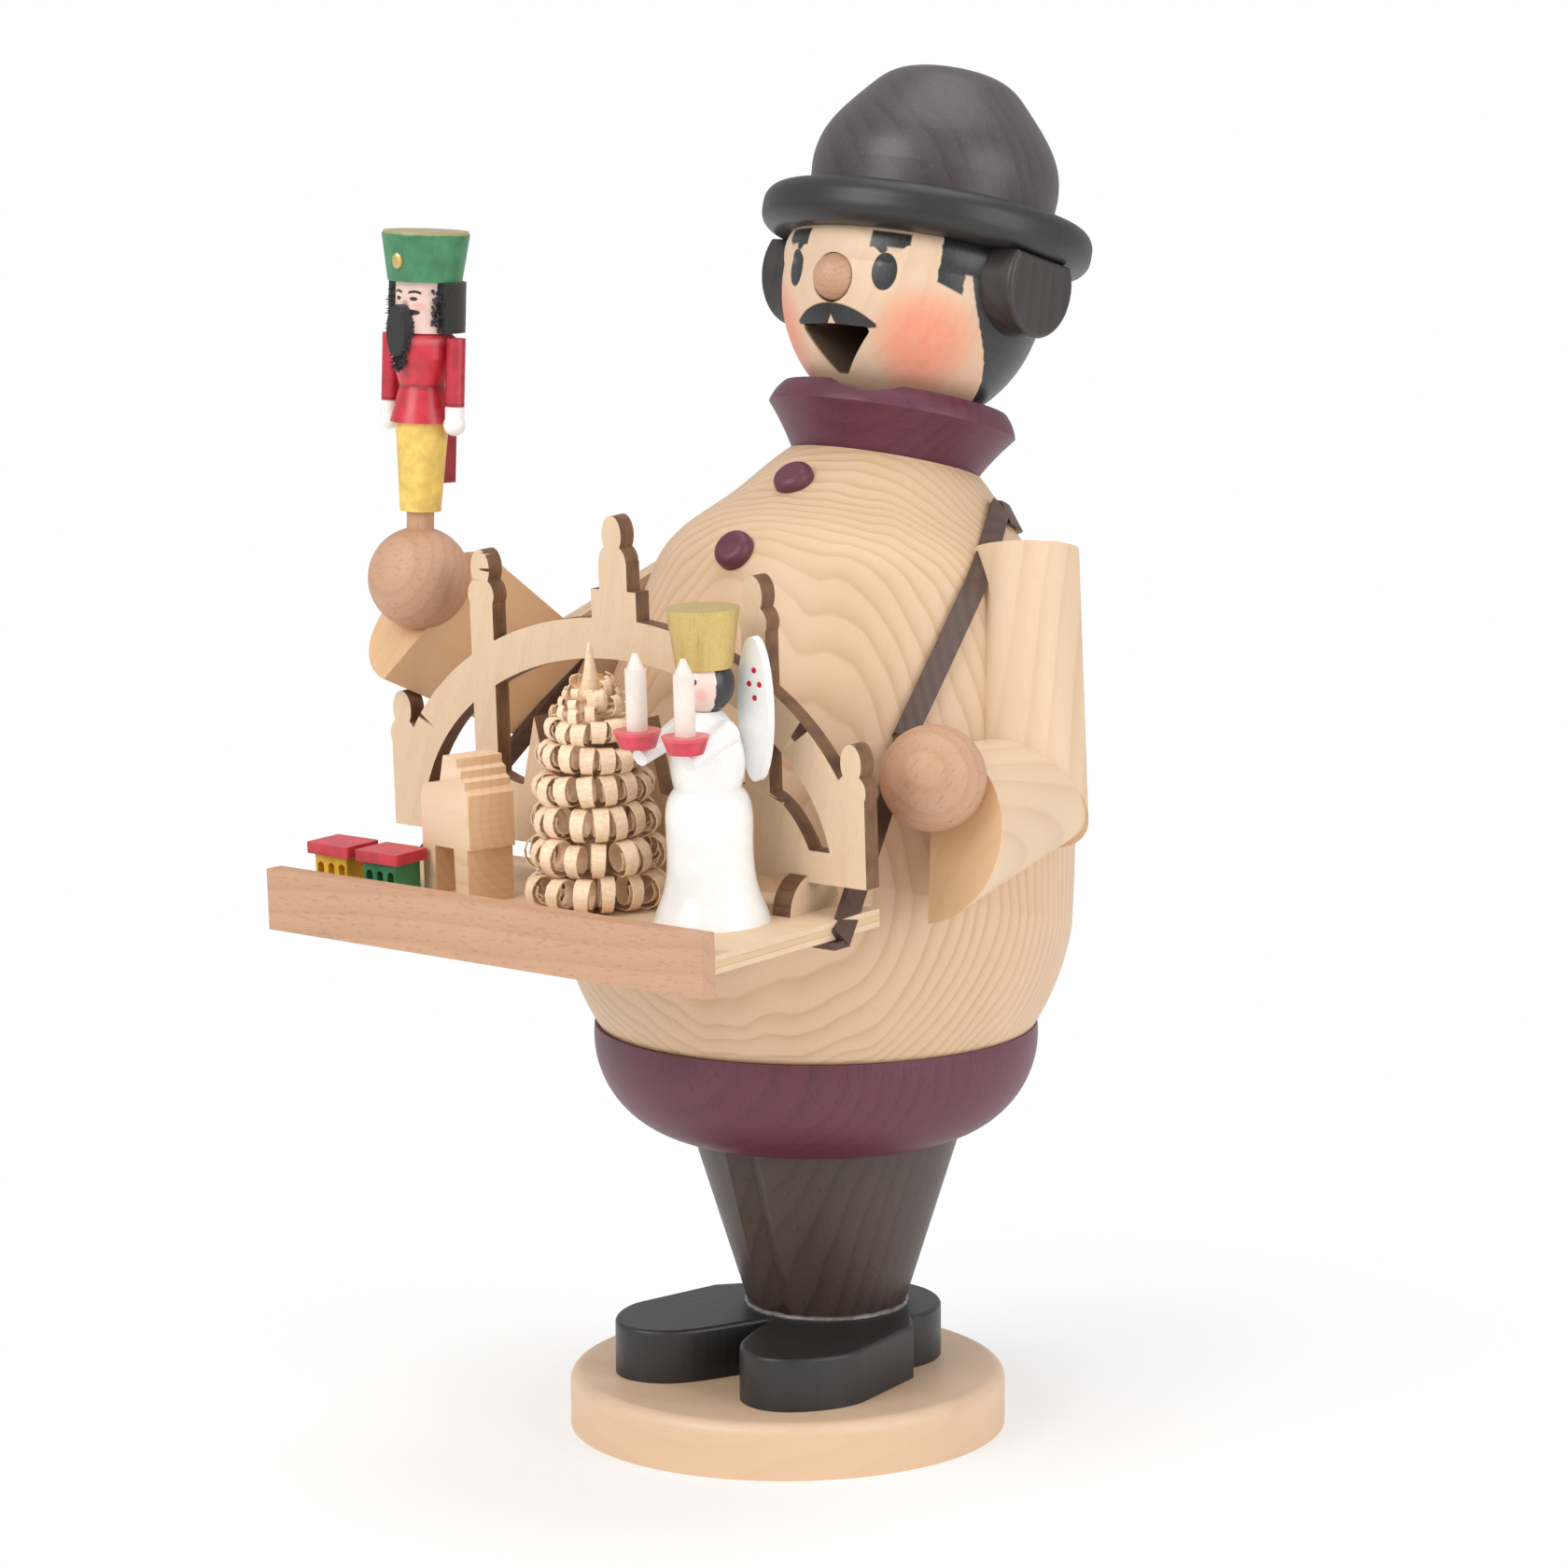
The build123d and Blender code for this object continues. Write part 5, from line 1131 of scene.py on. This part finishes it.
@dataclass
class Nutcracker:
    """Toy soldier on the raised hand, with fur hair and beard."""

    hand_radius: float = 7.5
    torso_floor: float = 15.4
    head_floor: float = 28.4
    cap_floor: float = 35.8
    head_radius: float = 4.2
    hair_tufts: int = 430
    beard_tufts: int = 150

    def __post_init__(self) -> None:
        """Find the toy's axes on the raised hand."""
        low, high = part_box("hand_right")
        centre = (Vector(low) + Vector(high)) / 2 / MM
        low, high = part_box("nutcracker_cap")
        cap = (Vector(low) + Vector(high)) / 2 / MM
        up = (cap - centre).normalized()
        self.placing = Placing(
            tuple(centre + up * self.hand_radius),
            tilt=math.degrees(math.asin(up.y)),
            side_tilt=math.degrees(math.asin(up.x)),
        )

    def build(self) -> None:
        """Dress the toy and grow its fur."""
        yellow = Lacquer((0.82, 0.56, 0.12), 0.42, 0.15, grain=0.5)
        dress("nutcracker_trousers", yellow.on("toy_yellow", self.placing))
        dress("nutcracker_peg", BEECH.on("toy_peg", self.placing))
        dress("nutcracker_coat", self.coat_material())
        dress("nutcracker_arms", self.arm_material())
        tail = Lacquer((0.30, 0.018, 0.030), 0.45, 0.1)
        dress("nutcracker_coat_tail", tail.on("toy_tail", self.placing))
        dress("nutcracker_head", self.face_material())
        dress("nutcracker_cap", self.cap_material())
        self.rosette()
        self.fur()

    def coat_material(self) -> bpy.types.Material:
        """Red coat with a thin band of painted shade round its middle and a soft band of painted highlight
        just under the head.
        """
        paint = Paint("toy_coat")
        colour, relief = Lacquer((0.58, 0.020, 0.040), 0.38, 0.2, grain=0.45).base(paint, self.placing)
        x, y, z = paint.parts(paint.local(self.placing))
        # Painted shade: a thin darker red band round the coat's middle, where it folds.
        waist_shade = abs(z - (self.torso_floor + 5.2)).below(0.35, 0.3)
        colour = paint.mix(waist_shade * 0.6, colour, (0.22, 0.008, 0.016))
        # Painted highlight: a soft paler red band just below the head.
        shoulder_highlight = abs(z - (self.head_floor - 1.0)).below(0.5, 0.8) * 0.25
        colour = paint.mix(shoulder_highlight, colour, (0.85, 0.30, 0.30))
        return paint.finish(colour, 0.38, relief, 0.04, 0.25)

    def arm_material(self) -> bpy.types.Material:
        """Red arms that end in white hands."""
        paint = Paint("toy_arms")
        colour, relief = Lacquer((0.50, 0.018, 0.040), 0.38, 0.2).base(paint, self.placing)
        x, y, z = paint.parts(paint.local(self.placing))
        hand = z.below(self.torso_floor + 2.6, 0.25)
        cuff = abs(z - (self.torso_floor + 2.9)).below(0.22, 0.1)
        colour = paint.mix(cuff, colour, (0.26, 0.010, 0.018))
        colour = paint.mix(hand, colour, (0.84, 0.83, 0.80))
        return paint.finish(colour, 0.35, relief, 0.03, 0.3)

    def face_material(self) -> bpy.types.Material:
        """Pale face with brows, eyes, a small nose, a moustache and teeth."""
        paint = Paint("toy_face")
        skin = Lacquer((0.84, 0.60, 0.52), 0.4, 0.2, uneven=0.07, grain=0.3)
        colour, relief = skin.base(paint, self.placing)
        x, y, z = paint.parts(paint.local(self.placing))
        across = x.math("ARCTAN2", y * -1.0) * self.head_radius
        side = abs(across)
        level = z - self.head_floor
        brow = abs(level - 6.0 + (side - 1.6) * (side - 1.6) * 0.22).below(0.20, 0.12)
        brow = brow.both(side.above(0.6, 0.2)).both(side.below(2.6, 0.2))
        eye = Face.oval(side, level, (1.45, 4.95), (0.62, 0.30), 0.35)
        nose = ((level - 4.6) * -0.62 - side).above(-0.35, 0.12)
        nose = nose.both(level.above(3.75, 0.1)).both(level.below(4.7, 0.2))
        beak = abs((level - 3.9) * 0.9).below(0.13, 0.1).both(side.below(0.55, 0.15))
        lash = Face.oval(side, level, (1.15, 3.0), (1.35, 0.42), 0.3)
        teeth = side.below(1.0, 0.15).both(abs(level - 2.35).below(0.30, 0.1))
        cheek = Face.oval(side, level, (2.3, 3.9), (0.9, 0.6), 1.5) * 0.5
        colour = paint.mix(cheek, colour, (0.80, 0.26, 0.22))
        colour = paint.mix(teeth, colour, (0.86, 0.84, 0.78))
        gaps = (across * 7.0).math("SINE").above(0.8, 0.2).both(teeth)
        black = brow.either(eye).either(lash).either(beak).either(nose * 0.35).either(gaps * 0.7)
        colour = paint.mix(black, colour, (0.020, 0.017, 0.018))
        return paint.finish(colour, 0.4, relief, 0.03, 0.2)

    def cap_material(self) -> bpy.types.Material:
        """Green cap whose upper rim is rubbed to the wood."""
        paint = Paint("toy_cap")
        colour, relief = Lacquer((0.045, 0.22, 0.095), 0.42, 0.15, grain=0.7).base(paint, self.placing)
        x, y, z = paint.parts(paint.local(self.placing))
        rubbed = paint.noise(paint.local(self.placing), 1.3, 2.0)
        rim = (z + rubbed * 0.35).above(self.cap_floor + 7.0, 0.15)
        colour = paint.mix(rim * 0.8, colour, (0.42, 0.30, 0.13))
        return paint.finish(colour, 0.42, relief, 0.04, 0.15)

    def rosette(self) -> None:
        """Small gold diamond on the front of the cap."""
        Tool.clear()
        bpy.ops.mesh.primitive_cylinder_add(vertices=8, radius=0.95 * MM, depth=0.35 * MM)
        rosette = Tool.take("cap_rosette")
        bpy.ops.object.mode_set(mode="EDIT")
        Tool.pick(rosette, "faces", lambda face: face.normal.z > 0.9)
        bpy.ops.mesh.inset(thickness=0.35 * MM)
        bpy.ops.transform.translate(value=(0, 0, 0.22 * MM))
        bpy.ops.object.mode_set(mode="OBJECT")
        spot = self.placing.point(0.0, -5.95, self.cap_floor + 3.0)
        place = Matrix.Translation(spot) @ Matrix.Rotation(math.radians(90), 4, "X")
        rosette.data.transform(place @ Matrix.Diagonal((1.0, 1.25, 1.0, 1.0)))
        place_piece(rosette, Angel().gold(), Body.FIGURE, "gold")

    def fur(self) -> None:
        """Clumps of short black fur round the back of the head and on the chin."""
        random.seed(23)
        hair, beard = [], []
        for index in range(self.hair_tufts):
            angle = math.radians(random.uniform(58, 302))
            level = self.head_floor + random.uniform(0.2, 7.0)
            droop = random.uniform(-0.9, 0.5)
            hair.append(self.tuft_place(angle, level, self.head_radius + 0.2, droop, 2.2))
        for index in range(self.beard_tufts):
            share = random.uniform(0.0, 1.0)
            angle = math.radians(random.uniform(-24, 24) * (1 - share * 0.6))
            level = self.head_floor + 1.9 - share * 6.8
            radius = self.head_radius + 0.15 + (0.55 if share > 0.3 else 0.0)
            beard.append(self.tuft_place(angle, level, radius, -1.0, 1.9))
        for name, places in (("hair", hair), ("beard", beard)):
            node, name = f"nutcracker_{name}", f"fur_{name}"
            clump = Tool.copies(self.tuft(), places, name)
            backing = Tool.cad_copy(node, f"{name}_backing")
            Tool.clear()
            backing.select_set(True)
            clump.select_set(True)
            bpy.context.view_layer.objects.active = clump
            bpy.ops.object.join()
            clump = Tool.take(name)
            place_piece(clump, self.fur_material(name), Body.FIGURE, "fur", node)

    def tuft(self) -> bpy.types.Object:
        """One pointed clump of fur along z, bent over at its tip."""
        Tool.clear()
        bpy.ops.mesh.primitive_cone_add(vertices=5, radius1=0.34 * MM, radius2=0.20 * MM, depth=0.5 * MM)
        tuft = Tool.take("tuft")
        bpy.ops.object.mode_set(mode="EDIT")
        for lift, lean, share in ((0.45, 0.12, 0.7), (0.4, 0.3, 0.35)):
            Tool.pick(tuft, "faces", lambda face: face.normal.z > 0.5)
            bpy.ops.mesh.extrude_region_move(TRANSFORM_OT_translate={"value": (lean * MM, 0, lift * MM)})
            bpy.ops.transform.resize(value=(share, share, share))
        bpy.ops.object.mode_set(mode="OBJECT")
        return tuft

    def tuft_place(self, angle: float, level: float, radius: float, droop: float, length: float) -> Matrix:
        """Where one clump grows.

        Args:
            angle: Turn about the toy's axis from its front.
            level: Height on the toy.
            radius: Distance from its axis.
            droop: How far it points down.
            length: Stretch of the clump.

        Returns:
            The matrix of the clump.
        """
        outward = Vector((math.sin(angle), -math.cos(angle), droop)).normalized()
        turn = self.placing.turn()
        spot = self.placing.point(radius * math.sin(angle), -radius * math.cos(angle), level)
        facing = (turn @ outward).to_track_quat("Z", "Y").to_matrix().to_4x4()
        spin = Matrix.Rotation(random.uniform(0, math.tau), 4, "Z")
        size = random.uniform(0.75, 1.1)
        stretch = Matrix.Diagonal((size, size, length * size * 0.6, 1.0))
        return Matrix.Translation(spot) @ facing @ spin @ stretch

    def fur_material(self, name: str) -> bpy.types.Material:
        """Deep black fur with a soft sheen."""
        paint = Paint(f"{name}_black")
        where = paint.local(self.placing)
        strand = paint.noise(where, 3.5, 3.0, 0.7)
        colour = paint.mix(strand.ramp_between(0.3, 0.8), (0.006, 0.006, 0.006), (0.030, 0.028, 0.028))
        return paint.finish(colour, 0.8, strand, 0.08, sheen=0.2)


@dataclass
class Strap:
    """Flat brown lace with fine ribs."""

    rib_rate: float = 6.0

    def build(self) -> None:
        """Dress the strap."""
        paint = Paint("brown_lace")
        where = paint.local(COAT)
        x, y, z = paint.parts(where)
        waxed = paint.noise(paint.join(x * 1.5, y * 1.5, z * 1.5), 1.0, 4.0, 0.6)
        colour = paint.mix(waxed, (0.030, 0.014, 0.010), (0.105, 0.052, 0.036))
        ribs = (x * self.rib_rate + z * 2.0).math("SINE") * 0.5 + 0.5
        colour = paint.mix(ribs * 0.25, colour, (0.16, 0.085, 0.058))
        dress("strap", paint.finish(colour, waxed * 0.2 + 0.42, waxed * 0.5 + ribs * 0.5, 0.08, 0.1))


@dataclass
class Studio:
    """Plain pale floor, soft lamps and the camera at the photograph's view."""

    eye: Point = (475.532378, -573.358645, 217.053756)
    right: Point = (0.77005, 0.637967, -0.004538)
    up: Point = (-0.098609, 0.126046, 0.987111)
    focal_pixels: float = 5497.727
    image_pixels: float = 1680.0
    ambient: float = 0.58
    sensor: float = 36.0
    aim: Point = (0.0, 0.0, 0.1)
    lights: Sequence[tuple[str, Point, float, float]] = (
        ("key", (-0.15, -0.95, 0.75), 0.8, 7.5),
        ("fill", (1.0, 0.05, 0.45), 0.8, 4.5),
        ("top", (0.05, 0.15, 1.1), 0.9, 3.5),
    )

    def build(self) -> None:
        """Make the camera, the lamps, the world and the floor."""
        self.camera()
        self.lamps()
        self.world()
        self.floor()

    def camera(self) -> None:
        """Camera fitted to the photograph."""
        data = bpy.data.cameras.new("view")
        data.sensor_width = self.sensor
        data.lens = self.sensor * self.focal_pixels / self.image_pixels
        data.clip_start = 0.05
        data.clip_end = 10.0
        camera = bpy.data.objects.new("view", data)
        right = Vector(self.right).normalized()
        up = Vector(self.up).normalized()
        back = right.cross(up).normalized()
        turn = Matrix((right, up, back)).transposed().to_4x4()
        camera.matrix_world = Matrix.Translation(Vector(self.eye) * MM) @ turn
        bpy.context.collection.objects.link(camera)
        bpy.context.scene.camera = camera

    def lamps(self) -> None:
        """One broad key from the viewer's left, a fill from the right and a soft top light."""
        for name, place, size, power in self.lights:
            data = bpy.data.lights.new(name, "AREA")
            data.shape = "DISK"
            data.size = size
            data.energy = power
            lamp = bpy.data.objects.new(name, data)
            aim = Vector(self.aim) - Vector(place)
            turn = aim.to_track_quat("-Z", "Y").to_matrix().to_4x4()
            lamp.matrix_world = Matrix.Translation(place) @ turn
            bpy.context.collection.objects.link(lamp)

    def world(self) -> None:
        """White to the camera and to transmission rays, plain soft light to everything else."""
        world = bpy.data.worlds.new("studio")
        world.use_nodes = True
        bpy.context.scene.world = world
        tree = world.node_tree
        background = tree.nodes["Background"]
        background.inputs["Color"].default_value = (1.0, 1.0, 1.0, 1.0)
        path = tree.nodes.new("ShaderNodeLightPath")
        seen = tree.nodes.new("ShaderNodeMath")
        seen.operation = "MAXIMUM"
        tree.links.new(path.outputs["Is Camera Ray"], seen.inputs[0])
        tree.links.new(path.outputs["Is Transmission Ray"], seen.inputs[1])
        level = tree.nodes.new("ShaderNodeMapRange")
        tree.links.new(seen.outputs[0], level.inputs[0])
        level.inputs[3].default_value = self.ambient
        level.inputs[4].default_value = 1.0
        tree.links.new(level.outputs[0], background.inputs["Strength"])

    def floor(self) -> None:
        """White floor that keeps the soft shadow by the base and turns plain white further out."""
        Tool.clear()
        bpy.ops.mesh.primitive_plane_add(size=8.0, location=(0, 0, 0))
        floor = Tool.take("floor")
        paint = Paint("white_floor")
        x, y, z = paint.parts(paint.local(Placing((0.0, 0.0, 0.0))))
        radius = (x * x + y * y).math("SQRT")
        far = radius.ramp_between(46.0, 130.0)
        glow = paint.tree.nodes.new("ShaderNodeEmission")
        glow.inputs["Color"].default_value = (1.0, 1.0, 1.0, 1.0)
        path = paint.tree.nodes.new("ShaderNodeLightPath")
        seen = Value(paint, path.outputs["Is Camera Ray"])
        share = (far * 0.62 + 0.38) * seen
        paint.finish((0.93, 0.93, 0.93), 0.9)
        blend = paint.tree.nodes.new("ShaderNodeMixShader")
        paint.tree.links.new(share.socket, blend.inputs[0])
        paint.tree.links.new(paint.shader.outputs[0], blend.inputs[1])
        paint.tree.links.new(glow.outputs[0], blend.inputs[2])
        paint.tree.links.new(blend.outputs[0], paint.tree.nodes["Material Output"].inputs[0])
        floor.data.materials.append(paint.material)


def main() -> None:
    """Build the studio and each sub-assembly in order."""
    logging.basicConfig(level=logging.INFO, format="%(name)s: %(message)s")
    bpy.context.scene.view_settings.view_transform = "Standard"
    Studio().build()
    for assembly in (Stand(), Coat(), Face(), Wares(), CurlTree(), Angel(), Nutcracker(), Strap()):
        assembly.build()
        log.info("finished %s", type(assembly).__name__)
    Tool.clear()


if __name__ == "__main__":
    main()
